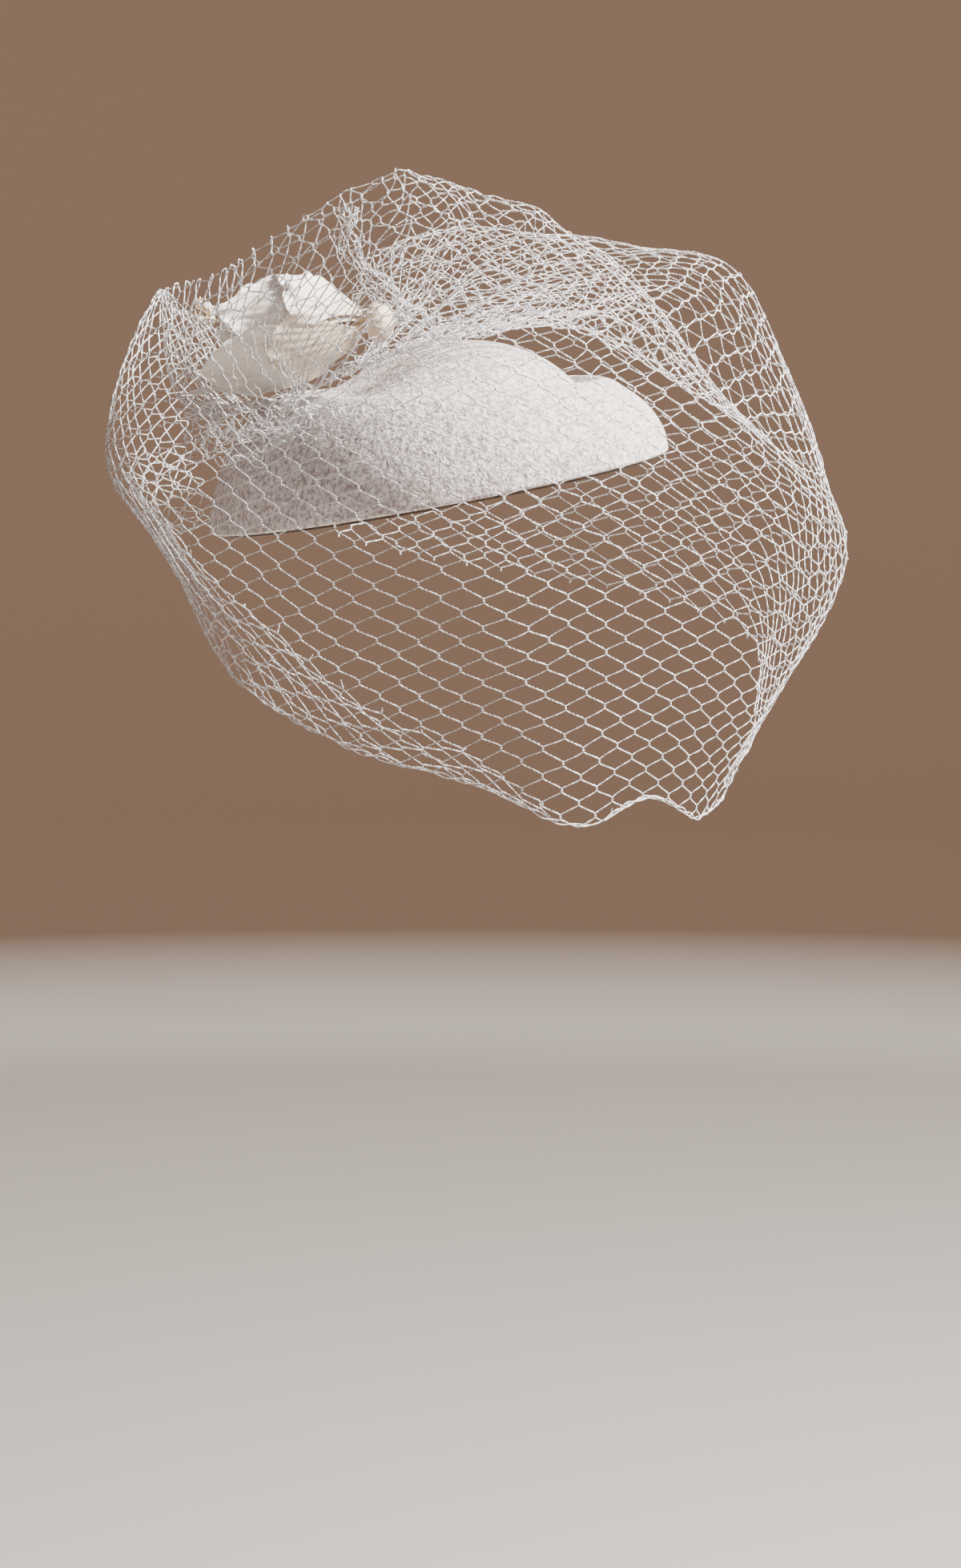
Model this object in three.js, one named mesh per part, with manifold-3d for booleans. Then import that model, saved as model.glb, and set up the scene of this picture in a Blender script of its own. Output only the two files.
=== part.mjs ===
// A felt percher hat with a birdcage veil and a silk flower, in millimetres.
// +Z is up as worn, the wearer faces -Y, and the origin is where the top of the head meets
// the inside of the crown. Azimuths run from the face (0) round the wearer's right side
// (90) to the back (180), and negative azimuths run round the wearer's left side.
import * as THREE from 'three';
import { mergeVertices } from 'three/addons/utils/BufferGeometryUtils.js';
import Module from 'manifold-3d';

// Driving sizes.
const FELT = 2;
const HAT_SIDES = 32;
const LEAN_AZIMUTH = 135;
const FACING_AZIMUTH = LEAN_AZIMUTH - 90;
const BINDING = { width: 1, height: 3, drop: 1, gap: 0.8 };
const NET_THICKNESS = 1.2;
const NET_STRUT = 3.6;
// Struts bend in more steps over the crest than in the hanging part.
const VEIL_NET = { columns: 9, rows: 5, stepsAt: (fall) => (fall < 0.62 ? 3 : 2) };
const TURN_UP_NET = { columns: 4, rows: 1, stepsAt: () => 2 };
const PETAL_THICKNESS = 1;
const PEARL_RADIUS = 1.5;
const PEARL_SIDES = 10;
const STEM_RADIUS = 0.5;

// The felt body, ring by ring from the rim to the top of the small dome. Each ring is a
// circle on the outside of the felt: how far its centre lies towards the lean, how high it
// is, its radius, and by how many degrees its lean side is lower.
const HAT_RINGS = [
  { shift: 3.2, height: -47.9, radius: 78.5, tilt: 10.3 },
  { shift: 3.6, height: -40.0, radius: 77.0, tilt: 9.5 },
  { shift: 4.0, height: -29.0, radius: 71.5, tilt: 7.5 },
  { shift: 4.0, height: -19.0, radius: 63.0, tilt: 5.0 },
  { shift: 2.0, height: -12.6, radius: 53.0, tilt: 2.5 },
  { shift: -2.0, height: -10.8, radius: 41.0, tilt: 1.5 },
  { shift: -4.0, height: -8.0, radius: 33.5, tilt: 1.0 },
  { shift: -4.5, height: -3.0, radius: 24.5, tilt: 0.5 },
  { shift: -5.0, height: 0.8, radius: 13.0, tilt: 0.0 },
];
const HAT_TOP = { shift: -5, height: 2 };

// The ring where the strip of veiling is gathered and sewn down, round the flower's foot.
const GATHER = {
  leanward: 34, facing: 20, height: -4, halfLong: 27, halfShort: 18, tilt: 22, first: 180, last: -90,
};

// One section of the veil, from the gather to the hem. Each pair is a distance from the Z
// axis and a height: where the net rises from the gather, its crest, its fullest bulge and
// its hem. turnUp is the depth of hem that is folded back inside.
const section = (azimuth, rise, crest, bulge, hem, turnUp) => (
  { azimuth, rise, crest, bulge, hem, turnUp }
);

const VEIL_SECTIONS = [
  //     azimuth     rise        crest       bulge        hem      turnUp
  section(  160,  [76, -19],   [86, 2],  [102, -38],    [92, -62],  28),
  section(  140,  [88, -18],  [95, 18],  [113, -36],    [97, -67],  34),
  section(  120,  [88, -12],  [95, 20],  [113, -38],    [93, -70],  34),
  section(  100,    [79, 6],  [84, 27],  [110, -46],    [95, -96],  32),
  section(   80,   [56, 26],  [70, 46],  [108, -52],   [98, -112],  26),
  section(   60,   [44, 36],  [62, 57],  [106, -58],  [100, -125],  16),
  section(   40,   [40, 36],  [63, 51],  [106, -62],  [100, -135],   8),
  section(   21,   [44, 32],  [72, 43],  [108, -66],  [103, -149],   0),
  section(    5,   [44, 24],  [74, 33],  [112, -68],  [100, -142],   0),
  section(  -11,   [44, 15],  [76, 18],  [120, -66],   [98, -152],   0),
  section(  -27,   [40, 10],   [72, 0],  [130, -64],   [96, -150],   0),
  section(  -43,    [34, 7],  [64, -4],  [134, -62],   [96, -144],   0),
  section(  -59,   [40, 10],  [84, 12],  [134, -48],  [108, -132],   0),
  section(  -75,   [50, 16], [114, 24],  [133, -20],  [124, -106],   0),
  section(  -95,   [50, 20], [104, 33],  [126, -22],   [120, -94],   0),
  section( -120,   [48, 22],  [86, 38],  [116, -26],   [110, -86],   0),
  section( -145,   [46, 18],  [76, 36],  [106, -30],   [102, -78],   0),
  section( -160,    [48, 8],  [72, 28],   [98, -34],    [94, -70],   0),
];

// The bloom: its axis from foot to mouth, and the petals' outline along it as shares of
// the length with the radius there.
const BLOOM_FOOT = new THREE.Vector3(-31.8, 3.5, 8);
const BLOOM_MOUTH = new THREE.Vector3(-59.4, 50.9, 4);
const BLOOM_PROFILE = [
  { share: 0, radius: 4 },
  { share: 0.15, radius: 12 },
  { share: 0.4, radius: 19.5 },
  { share: 0.7, radius: 21.5 },
  { share: 1, radius: 22.5 },
];
const BLOOM_FLATNESS = 0.85;
const PETAL_LAYERS = [
  { name: 'outer', count: 5, span: 98, foot: 2.6, reach: 0.96, spread: 1, turn: 10 },
  { name: 'inner', count: 3, span: 128, foot: 5.2, reach: 0.8, spread: 0.7, turn: 50 },
];

// The frill: the short end of the strip, pleated and tucked in below the bloom.
const FRILL = {
  from: 97, to: 124, innerR: 65, innerZ: -18, outerR: 88, outerZ: -31, pleats: 6, depth: 2.2,
};

// The hidden comb, inside the wall opposite the flower.
const COMB = {
  azimuth: -135, distance: 65, height: -45, width: 40, bar: 5, tooth: 20, teeth: 8, thickness: 1.5,
  lean: 22,
};

// The turned-up hem: it starts at the veil's end and is as many columns of the net long as
// its own net has, and it leaves the veil at the fold and stands off it further up.
const TURN_UP = { share: TURN_UP_NET.columns / VEIL_NET.columns, fold: 1.0, gap: 3.5, least: 6 };

const PETAL = { steps: 5, half: 2, wave: 1.2, tuck: 1.6 };
const STAMENS = { count: 5, foot: 2.6, button: 2.4, reach: 54, stagger: 3, spread: 4.2, lift: 7 };

const wasm = await Module();
wasm.setup();

const FELT_LOOK = new THREE.MeshStandardMaterial({ color: 0xe9e2d6, roughness: 0.95 });
const BINDING_LOOK = new THREE.MeshStandardMaterial({ color: 0x4a3326, roughness: 0.8 });
const NET_LOOK = new THREE.MeshStandardMaterial({ color: 0xf0ecea, roughness: 0.8 });
const SILK_LOOK = new THREE.MeshStandardMaterial({ color: 0xe8dccb, roughness: 0.55 });
const PEARL_LOOK = new THREE.MeshStandardMaterial({ color: 0xfbf3e4, roughness: 0.25 });
const COMB_LOOK = new THREE.MeshStandardMaterial({ color: 0xd9d4cc, roughness: 0.4 });

const radians = THREE.MathUtils.degToRad;
const object = new THREE.Group();

function addPiece(name, geometry, look) {
  geometry.computeVertexNormals();
  const piece = new THREE.Mesh(geometry, look);
  piece.name = name;
  object.add(piece);
  return piece;
}

// A level unit vector at an azimuth.
function outward(azimuth) {
  return new THREE.Vector3(-Math.sin(radians(azimuth)), -Math.cos(radians(azimuth)), 0);
}

// The point at an azimuth that is a pair of distance and height from the axis.
function around(azimuth, [distance, height]) {
  return outward(azimuth).multiplyScalar(distance).setZ(height);
}

function geometryOf(points, triangles) {
  const geometry = new THREE.BufferGeometry();
  geometry.setAttribute('position', new THREE.Float32BufferAttribute(points.flat(), 3));
  geometry.setIndex(triangles.flat());
  return geometry;
}

// Turn a closed geometry the right way out, whichever way its faces were listed.
function facingOut(geometry) {
  const index = geometry.index.array;
  const corners = geometry.getAttribute('position');
  const [a, b, c] = [new THREE.Vector3(), new THREE.Vector3(), new THREE.Vector3()];
  let volume = 0;
  for (let i = 0; i < index.length; i += 3) {
    a.fromBufferAttribute(corners, index[i]);
    b.fromBufferAttribute(corners, index[i + 1]);
    c.fromBufferAttribute(corners, index[i + 2]);
    volume += a.dot(b.cross(c));
  }
  if (volume < 0) {
    for (let i = 0; i < index.length; i += 3) {
      [index[i], index[i + 1]] = [index[i + 1], index[i]];
    }
  }
  return geometry;
}

function toSolid(geometry) {
  const bare = geometry.clone();
  bare.deleteAttribute('normal');
  bare.deleteAttribute('uv');
  const merged = mergeVertices(bare, 1e-4);
  return new wasm.Manifold(new wasm.Mesh({
    numProp: 3,
    vertProperties: new Float32Array(merged.getAttribute('position').array),
    triVerts: new Uint32Array(merged.index.array),
  }));
}

function toGeometry(solid) {
  const mesh = solid.getMesh();
  const geometry = new THREE.BufferGeometry();
  geometry.setAttribute('position', new THREE.BufferAttribute(mesh.vertProperties, 3));
  geometry.setIndex(new THREE.BufferAttribute(mesh.triVerts, 1));
  return geometry;
}

// A thin closed sheet over a grid of points on its middle surface.
function sheetOf(grid, thickness) {
  const rows = grid.length;
  const columns = grid[0].length;
  const at = (i, j) => grid[Math.min(Math.max(i, 0), rows - 1)][Math.min(Math.max(j, 0), columns - 1)];
  const points = [];
  for (const side of [0.5, -0.5]) {
    for (let i = 0; i < rows; i += 1) {
      for (let j = 0; j < columns; j += 1) {
        const along = at(i + 1, j).clone().sub(at(i - 1, j));
        const across = at(i, j + 1).clone().sub(at(i, j - 1));
        const normal = along.cross(across).normalize();
        points.push(at(i, j).clone().addScaledVector(normal, side * thickness).toArray());
      }
    }
  }
  const top = (i, j) => i * columns + j;
  const bottom = (i, j) => rows * columns + top(i, j);
  const triangles = [];
  const quad = (a, b, c, d) => triangles.push([a, b, c], [a, c, d]);
  for (let i = 0; i < rows - 1; i += 1) {
    for (let j = 0; j < columns - 1; j += 1) {
      quad(top(i, j), top(i + 1, j), top(i + 1, j + 1), top(i, j + 1));
      quad(bottom(i, j), bottom(i, j + 1), bottom(i + 1, j + 1), bottom(i + 1, j));
    }
    quad(top(i, 0), bottom(i, 0), bottom(i + 1, 0), top(i + 1, 0));
    quad(top(i, columns - 1), top(i + 1, columns - 1), bottom(i + 1, columns - 1), bottom(i, columns - 1));
  }
  for (let j = 0; j < columns - 1; j += 1) {
    quad(top(0, j), top(0, j + 1), bottom(0, j + 1), bottom(0, j));
    quad(top(rows - 1, j), bottom(rows - 1, j), bottom(rows - 1, j + 1), top(rows - 1, j + 1));
  }
  return facingOut(geometryOf(points, triangles));
}

// --- The felt ---------------------------------------------------------------------------

// One point of a ring of the hat, at an angle from the side that it leans to.
function hatRingPoint({ shift, height, radius, tilt }, angle) {
  const lean = outward(LEAN_AZIMUTH);
  const facing = outward(FACING_AZIMUTH);
  const along = radius * Math.cos(angle);
  return lean.multiplyScalar(shift + along * Math.cos(radians(tilt)))
    .addScaledVector(facing, radius * Math.sin(angle))
    .setZ(height - along * Math.sin(radians(tilt)));
}

// The rings of the hat, moved inwards from the outside of the felt by a distance.
function offsetRings(offset) {
  return HAT_RINGS.map((ring, i) => {
    const below = HAT_RINGS[Math.max(i - 1, 0)];
    const above = HAT_RINGS[i + 1] ?? { radius: 0, height: HAT_TOP.height };
    const rise = above.height - below.height;
    const run = below.radius - above.radius;
    const length = Math.hypot(rise, run);
    const sink = i === 0 ? 0 : run / length;
    return {
      ...ring,
      radius: ring.radius - offset * (rise / length),
      height: ring.height - offset * sink,
    };
  });
}

function hatBody() {
  const outer = offsetRings(0);
  const inner = offsetRings(FELT).reverse();
  const points = [];
  const pushRing = (ring) => {
    for (let k = 0; k < HAT_SIDES; k += 1) {
      points.push(hatRingPoint(ring, (k / HAT_SIDES) * 2 * Math.PI).toArray());
    }
  };
  const pushPole = (height) => {
    points.push(outward(LEAN_AZIMUTH).multiplyScalar(HAT_TOP.shift).setZ(height).toArray());
    return points.length - 1;
  };
  outer.forEach(pushRing);
  inner.forEach(pushRing);
  const outerPole = pushPole(HAT_TOP.height);
  const innerPole = pushPole(HAT_TOP.height - FELT);
  const count = outer.length;
  const at = (ring, k) => ring * HAT_SIDES + (k % HAT_SIDES);
  const triangles = [];
  const band = (lower, upper) => {
    for (let k = 0; k < HAT_SIDES; k += 1) {
      triangles.push([at(lower, k), at(lower, k + 1), at(upper, k + 1)]);
      triangles.push([at(lower, k), at(upper, k + 1), at(upper, k)]);
    }
  };
  for (let ring = 0; ring < count - 1; ring += 1) {
    band(ring, ring + 1);
    band(count + ring, count + ring + 1);
  }
  band(2 * count - 1, 0);
  for (let k = 0; k < HAT_SIDES; k += 1) {
    triangles.push([at(count - 1, k), at(count - 1, k + 1), outerPole]);
    triangles.push([at(count, k + 1), at(count, k), innerPole]);
  }
  return facingOut(geometryOf(points, triangles));
}

// A narrow band sewn inside the rim, which shows as a dark line below the felt.
function rimBinding() {
  const rim = HAT_RINGS[0];
  const outerRadius = rim.radius - FELT - BINDING.gap;
  const section = [
    { radius: outerRadius, lift: -BINDING.drop },
    { radius: outerRadius, lift: BINDING.height - BINDING.drop },
    { radius: outerRadius - BINDING.width, lift: BINDING.height - BINDING.drop },
    { radius: outerRadius - BINDING.width, lift: -BINDING.drop },
  ];
  const points = [];
  for (let k = 0; k < HAT_SIDES; k += 1) {
    const angle = (k / HAT_SIDES) * 2 * Math.PI;
    for (const { radius, lift } of section) {
      points.push(hatRingPoint({ ...rim, radius, height: rim.height + lift }, angle).toArray());
    }
  }
  const triangles = [];
  const at = (k, corner) => (k % HAT_SIDES) * 4 + (corner % 4);
  for (let k = 0; k < HAT_SIDES; k += 1) {
    for (let corner = 0; corner < 4; corner += 1) {
      triangles.push([at(k, corner), at(k + 1, corner), at(k + 1, corner + 1)]);
      triangles.push([at(k, corner), at(k + 1, corner + 1), at(k, corner + 1)]);
    }
  }
  return facingOut(geometryOf(points, triangles));
}

// --- The veil ---------------------------------------------------------------------------

function gatherPoint(azimuth) {
  const first = VEIL_SECTIONS[0].azimuth;
  const last = VEIL_SECTIONS[VEIL_SECTIONS.length - 1].azimuth;
  const turn = radians(THREE.MathUtils.mapLinear(azimuth, first, last, GATHER.first, GATHER.last));
  const long = GATHER.halfLong * Math.cos(turn);
  const short = GATHER.halfShort * Math.sin(turn);
  return outward(LEAN_AZIMUTH).multiplyScalar(GATHER.leanward - long * Math.cos(radians(GATHER.tilt)))
    .addScaledVector(outward(FACING_AZIMUTH), GATHER.facing + short)
    .setZ(GATHER.height + long * Math.sin(radians(GATHER.tilt)));
}

// Rails run round the head through the same point of every section.
const rail = (pointOf) => (
  new THREE.CatmullRomCurve3(VEIL_SECTIONS.map(pointOf), false, 'catmullrom', 0.5)
);
const RAILS = [
  rail(({ azimuth }) => gatherPoint(azimuth)),
  rail(({ azimuth, rise }) => around(azimuth, rise)),
  rail(({ azimuth, crest }) => around(azimuth, crest)),
  rail(({ azimuth, bulge }) => around(azimuth, bulge)),
  rail(({ azimuth, hem }) => around(azimuth, hem)),
];
const BULGE_RAIL = RAILS[3];
const sectionCache = new Map();

// The curve from gather to hem at a share of the way round, measured along the bulge.
function sectionAt(share) {
  const key = share.toFixed(5);
  if (!sectionCache.has(key)) {
    const place = BULGE_RAIL.getUtoTmapping(share);
    const points = RAILS.map((curve) => curve.getPoint(place));
    sectionCache.set(key, new THREE.CatmullRomCurve3(points, false, 'centripetal'));
  }
  return sectionCache.get(key);
}

// A point of the veil at a share of the way round and a share of the fall to the hem.
function veilPoint(round, fall) {
  return sectionAt(clampShare(round)).getPointAt(clampShare(fall));
}

function clampShare(value) {
  return Math.min(Math.max(value, 0), 1);
}

function surfaceNormal(pointAt, round, fall) {
  const step = 0.004;
  const sideways = pointAt(round + step, fall).sub(pointAt(round - step, fall));
  const down = pointAt(round, fall + step).sub(pointAt(round, fall - step));
  return sideways.cross(down).normalize();
}

// The depth of turned-up hem at a share of the way round.
function turnUpDepth(round) {
  const place = BULGE_RAIL.getUtoTmapping(round) * (VEIL_SECTIONS.length - 1);
  const before = VEIL_SECTIONS[Math.floor(place)];
  const after = VEIL_SECTIONS[Math.min(Math.floor(place) + 1, VEIL_SECTIONS.length - 1)];
  return Math.max(THREE.MathUtils.lerp(before.turnUp, after.turnUp, place % 1), TURN_UP.least);
}

// A point of the turned-up hem, climbing from the fold up the inside of the veil.
function turnUpPoint(along, climb) {
  const round = TURN_UP.share * clampShare(along);
  const lift = clampShare(climb);
  const fall = 1 - (lift * turnUpDepth(round) + NET_THICKNESS / 2) / sectionAt(round).getLength();
  const inset = THREE.MathUtils.lerp(TURN_UP.fold, TURN_UP.gap, Math.min(lift * 3, 1));
  return veilPoint(round, fall).addScaledVector(surfaceNormal(veilPoint, round, fall), -inset);
}

// The openings of a net in units of columns and rows: diamonds in two staggered sets, and
// the half and quarter diamonds that fill in the straight edges.
function netCells(columns, rows) {
  const cells = [];
  for (let i = 0; i <= columns; i += 0.5) {
    for (let j = i % 1; j <= rows; j += 1) {
      const diamond = [[i - 0.5, j], [i, j + 0.5], [i + 0.5, j], [i, j - 0.5]];
      const cell = diamond.filter(([x, y]) => x >= 0 && x <= columns && y >= 0 && y <= rows);
      if (cell.length === 2) {
        cell.push([i, j]);
      }
      cells.push(turnsLeft(cell) ? cell.reverse() : cell);
    }
  }
  return cells;
}

function turnsLeft([[ax, ay], [bx, by], [cx, cy]]) {
  return (bx - ax) * (cy - ay) > (by - ay) * (cx - ax);
}

// How far an opening is drawn in to leave half a strut on every side.
function openingShare(corners) {
  let edge = 0;
  let area = 0;
  corners.forEach((corner, k) => {
    const next = corners[(k + 1) % corners.length];
    edge += corner.distanceTo(next);
    area += new THREE.Triangle(corners[0], corner, next).getArea();
  });
  return Math.max(1 - (NET_STRUT * edge) / (4 * area), 0.35);
}

// A closed thin shell over a surface, cut through by the openings of a diamond net.
function netShell({ pointAt, columns, rows, stepsAt }) {
  const points = [];
  const known = new Map();
  const triangles = [];
  const vertex = ([x, y]) => {
    const key = `${x.toFixed(4)},${y.toFixed(4)}`;
    if (!known.has(key)) {
      const middle = pointAt(x / columns, y / rows);
      const half = surfaceNormal(pointAt, x / columns, y / rows).multiplyScalar(NET_THICKNESS / 2);
      known.set(key, points.length);
      points.push(middle.clone().add(half).toArray(), middle.clone().sub(half).toArray());
    }
    return known.get(key);
  };
  const quad = (a, b, c, d) => triangles.push([a, b, c], [a, c, d]);
  const between = ([ax, ay], [bx, by], part) => [ax + (bx - ax) * part, ay + (by - ay) * part];
  const onEdge = ([ax, ay], [bx, by]) => (
    (ax === bx && (ax === 0 || ax === columns)) || (ay === by && (ay === 0 || ay === rows))
  );
  for (const cell of netCells(columns, rows)) {
    const centre = [0, 1].map((axis) => cell.reduce((sum, corner) => sum + corner[axis], 0) / cell.length);
    const share = openingShare(cell.map(([x, y]) => pointAt(x / columns, y / rows)));
    cell.forEach((corner, k) => {
      const next = cell[(k + 1) % cell.length];
      const steps = stepsAt((corner[1] + next[1]) / 2 / rows);
      for (let step = 0; step < steps; step += 1) {
        const ends = [step, step + 1].map((count) => between(corner, next, count / steps));
        const [outerA, outerB] = ends.map(vertex);
        const [innerA, innerB] = ends.map((end) => vertex(between(centre, end, share)));
        quad(outerA, outerB, innerB, innerA);
        quad(outerA + 1, innerA + 1, innerB + 1, outerB + 1);
        quad(innerA, innerB, innerB + 1, innerA + 1);
        if (onEdge(corner, next)) {
          quad(outerA, outerA + 1, outerB + 1, outerB);
        }
      }
    });
  }
  return facingOut(geometryOf(points, triangles));
}

// The strip hangs from the gather and its hem is folded up inside on the wearer's right.
function veil() {
  const strip = netShell({ pointAt: veilPoint, ...VEIL_NET });
  const turnedHem = netShell({ pointAt: turnUpPoint, ...TURN_UP_NET });
  return toGeometry(toSolid(strip).add(toSolid(turnedHem)));
}

// The frill's pleats run out from the bloom, so its free edge waves up and down.
function frill() {
  const columns = FRILL.pleats * 4;
  const grid = [];
  for (let i = 0; i <= columns; i += 1) {
    const azimuth = THREE.MathUtils.lerp(FRILL.from, FRILL.to, i / columns);
    const wave = Math.sin((i / columns) * FRILL.pleats * 2 * Math.PI) * FRILL.depth;
    const row = [0, 0.5, 1].map((reach) => around(azimuth, [
      THREE.MathUtils.lerp(FRILL.innerR, FRILL.outerR, reach),
      THREE.MathUtils.lerp(FRILL.innerZ, FRILL.outerZ, reach) + wave * reach,
    ]));
    grid.push(row);
  }
  return sheetOf(grid, NET_THICKNESS);
}

// --- The bloom --------------------------------------------------------------------------

const bloomAxis = BLOOM_MOUTH.clone().sub(BLOOM_FOOT);
const bloomLength = bloomAxis.length();
bloomAxis.normalize();
const bloomSide = bloomAxis.clone().cross(new THREE.Vector3(0, 0, 1)).normalize();
const bloomUp = bloomSide.clone().cross(bloomAxis);
const bloomOutline = new THREE.SplineCurve(
  BLOOM_PROFILE.map(({ share, radius }) => new THREE.Vector2(share * bloomLength, radius)),
);

// A point of the cup, which is pressed a little flat where it lies on the felt.
function bloomPoint(along, radius, angle) {
  const rise = Math.sin(angle) * (Math.sin(angle) < 0 ? BLOOM_FLATNESS : 1);
  return BLOOM_FOOT.clone()
    .addScaledVector(bloomAxis, along)
    .addScaledVector(bloomSide, radius * Math.cos(angle))
    .addScaledVector(bloomUp, radius * rise);
}

// A petal: part of the bloom's cup, narrow at the foot and round at the tip, with one side
// tucked inside its neighbour and the other outside, and a gentle wave near the tip.
function petal(layer, number) {
  const middle = radians(layer.turn + (number * 360) / layer.count);
  const grid = [];
  for (let i = 0; i <= PETAL.steps; i += 1) {
    const share = i / PETAL.steps;
    const width = Math.min(0.35 + 1.1 * share, Math.sqrt(Math.max(1 - ((share - 0.5) / 0.56) ** 2, 0)));
    const outline = bloomOutline.getPoint(share);
    const row = [];
    for (let j = -PETAL.half; j <= PETAL.half; j += 1) {
      const across = j / PETAL.half;
      const angle = middle + across * radians(layer.span / 2) * width;
      const wave = PETAL.wave * Math.sin(5 * angle) * share ** 2;
      const tuck = PETAL.tuck * across * width * Math.min(3 * share, 1);
      const radius = outline.y * layer.spread + tuck + wave;
      const along = layer.foot + outline.x * layer.reach;
      row.push(bloomPoint(along, radius, angle));
    }
    grid.push(row);
  }
  return sheetOf(grid, PETAL_THICKNESS);
}

// Pearl heads on short stems, joined at a small button inside the bloom.
function stamens() {
  const alongAxis = new THREE.Quaternion().setFromUnitVectors(new THREE.Vector3(0, 1, 0), bloomAxis);
  const button = new THREE.CylinderGeometry(STAMENS.button, STAMENS.button, 2, 8);
  button.applyQuaternion(alongAxis);
  button.translate(...bloomPoint(STAMENS.foot, 0, 0).toArray());
  let solid = toSolid(button);
  for (let k = 0; k < STAMENS.count; k += 1) {
    const angle = (k / STAMENS.count) * 2 * Math.PI;
    const reach = STAMENS.reach + (k % 2) * STAMENS.stagger;
    const head = bloomPoint(reach, STAMENS.spread, angle).addScaledVector(bloomUp, STAMENS.lift);
    const foot = bloomPoint(STAMENS.foot, STAMENS.button / 2, angle);
    const stemAxis = head.clone().sub(foot);
    const stem = new THREE.CylinderGeometry(STEM_RADIUS, STEM_RADIUS, stemAxis.length(), 5);
    stem.translate(0, stemAxis.length() / 2, 0);
    stem.applyQuaternion(new THREE.Quaternion().setFromUnitVectors(
      new THREE.Vector3(0, 1, 0),
      stemAxis.clone().normalize(),
    ));
    stem.translate(...foot.toArray());
    const pearl = new THREE.SphereGeometry(PEARL_RADIUS, PEARL_SIDES, 5);
    pearl.translate(...head.toArray());
    solid = solid.add(toSolid(stem)).add(toSolid(pearl));
  }
  return toGeometry(solid);
}

// The covered button that the petals, the net and the stamens are sewn to.
function flowerFoot() {
  const profile = [[0, -7], [4.5, -6], [6.5, -3], [6.5, -0.5], [4, 1], [0, 1]];
  const button = new THREE.LatheGeometry(profile.map(([x, y]) => new THREE.Vector2(x, y)), 12);
  button.applyQuaternion(new THREE.Quaternion().setFromUnitVectors(new THREE.Vector3(0, 1, 0), bloomAxis));
  button.translate(...BLOOM_FOOT.toArray());
  return facingOut(mergeVertices(stripped(button), 1e-4));
}

function stripped(geometry) {
  geometry.deleteAttribute('normal');
  geometry.deleteAttribute('uv');
  return geometry;
}

// --- The comb ---------------------------------------------------------------------------

function comb() {
  const pitch = COMB.width / (COMB.teeth * 2 - 1);
  const outline = new THREE.Shape();
  outline.moveTo(-COMB.width / 2, 0);
  outline.lineTo(COMB.width / 2, 0);
  for (let k = COMB.teeth * 2 - 2; k >= 0; k -= 1) {
    const [left, right] = [k, k + 1].map((count) => count * pitch - COMB.width / 2);
    const height = k % 2 === 0 ? COMB.bar + COMB.tooth : COMB.bar;
    outline.lineTo(right, height);
    outline.lineTo(left, height);
  }
  outline.closePath();
  return new THREE.ExtrudeGeometry(outline, { depth: COMB.thickness, bevelEnabled: false });
}

// --- The whole hat ----------------------------------------------------------------------

addPiece('hat_body', hatBody(), FELT_LOOK);
addPiece('rim_binding', rimBinding(), BINDING_LOOK);
addPiece('veil', veil(), NET_LOOK);
addPiece('net_frill', frill(), NET_LOOK);
addPiece('flower_foot', flowerFoot(), SILK_LOOK);
for (const layer of PETAL_LAYERS) {
  for (let number = 0; number < layer.count; number += 1) {
    addPiece(`petal_${layer.name}_${number + 1}`, petal(layer, number), SILK_LOOK);
  }
}
addPiece('stamens', stamens(), PEARL_LOOK);
const combPiece = addPiece('comb', comb(), COMB_LOOK);
combPiece.rotation.order = 'ZYX';
combPiece.rotation.set(Math.PI / 2 - radians(COMB.lean), 0, radians(-COMB.azimuth));
combPiece.position.copy(around(COMB.azimuth, [COMB.distance, COMB.height]));

export default object;
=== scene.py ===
"""A felt percher hat with a birdcage veil and a silk bloom, dressed round its CAD frame.

Everything is in metres. +Z is up as worn and the wearer faces -Y. Azimuths are in degrees
and run from the face (0) round the wearer's right side (90) to the back (180); negative
azimuths run round the wearer's left side.
"""

import logging
import math
from dataclasses import dataclass, field
from enum import Enum
from typing import Any, Callable

import bpy
import numpy as np
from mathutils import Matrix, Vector, noise
from mathutils.bvhtree import BVHTree

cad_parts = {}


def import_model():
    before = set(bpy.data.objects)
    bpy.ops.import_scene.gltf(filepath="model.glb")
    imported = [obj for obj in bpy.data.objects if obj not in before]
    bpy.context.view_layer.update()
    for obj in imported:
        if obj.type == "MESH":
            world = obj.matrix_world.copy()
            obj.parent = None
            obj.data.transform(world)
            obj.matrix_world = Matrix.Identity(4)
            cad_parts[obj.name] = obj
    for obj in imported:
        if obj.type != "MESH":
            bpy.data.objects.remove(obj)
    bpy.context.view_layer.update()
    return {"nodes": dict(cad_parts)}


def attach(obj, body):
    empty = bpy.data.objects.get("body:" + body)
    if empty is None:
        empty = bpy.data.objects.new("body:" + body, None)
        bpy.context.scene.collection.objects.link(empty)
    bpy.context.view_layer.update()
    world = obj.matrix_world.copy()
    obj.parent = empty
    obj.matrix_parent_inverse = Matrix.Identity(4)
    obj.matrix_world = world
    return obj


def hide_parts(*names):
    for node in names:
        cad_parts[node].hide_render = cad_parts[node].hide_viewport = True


LOG = logging.getLogger("fascinator")
BODY = "root"
LEAN_AZIMUTH = 135.0
FACING_AZIMUTH = LEAN_AZIMUTH - 90.0
FELT = 0.002
TWO_PI = 2 * math.pi
Colour = tuple[float, float, float]
Point = tuple[float, float, float]
Faces = list[tuple[int, ...]]
# A wave: its height, its turns along a share, its lean up a climb and its start.
Wave = tuple[float, float, float, float]


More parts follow.
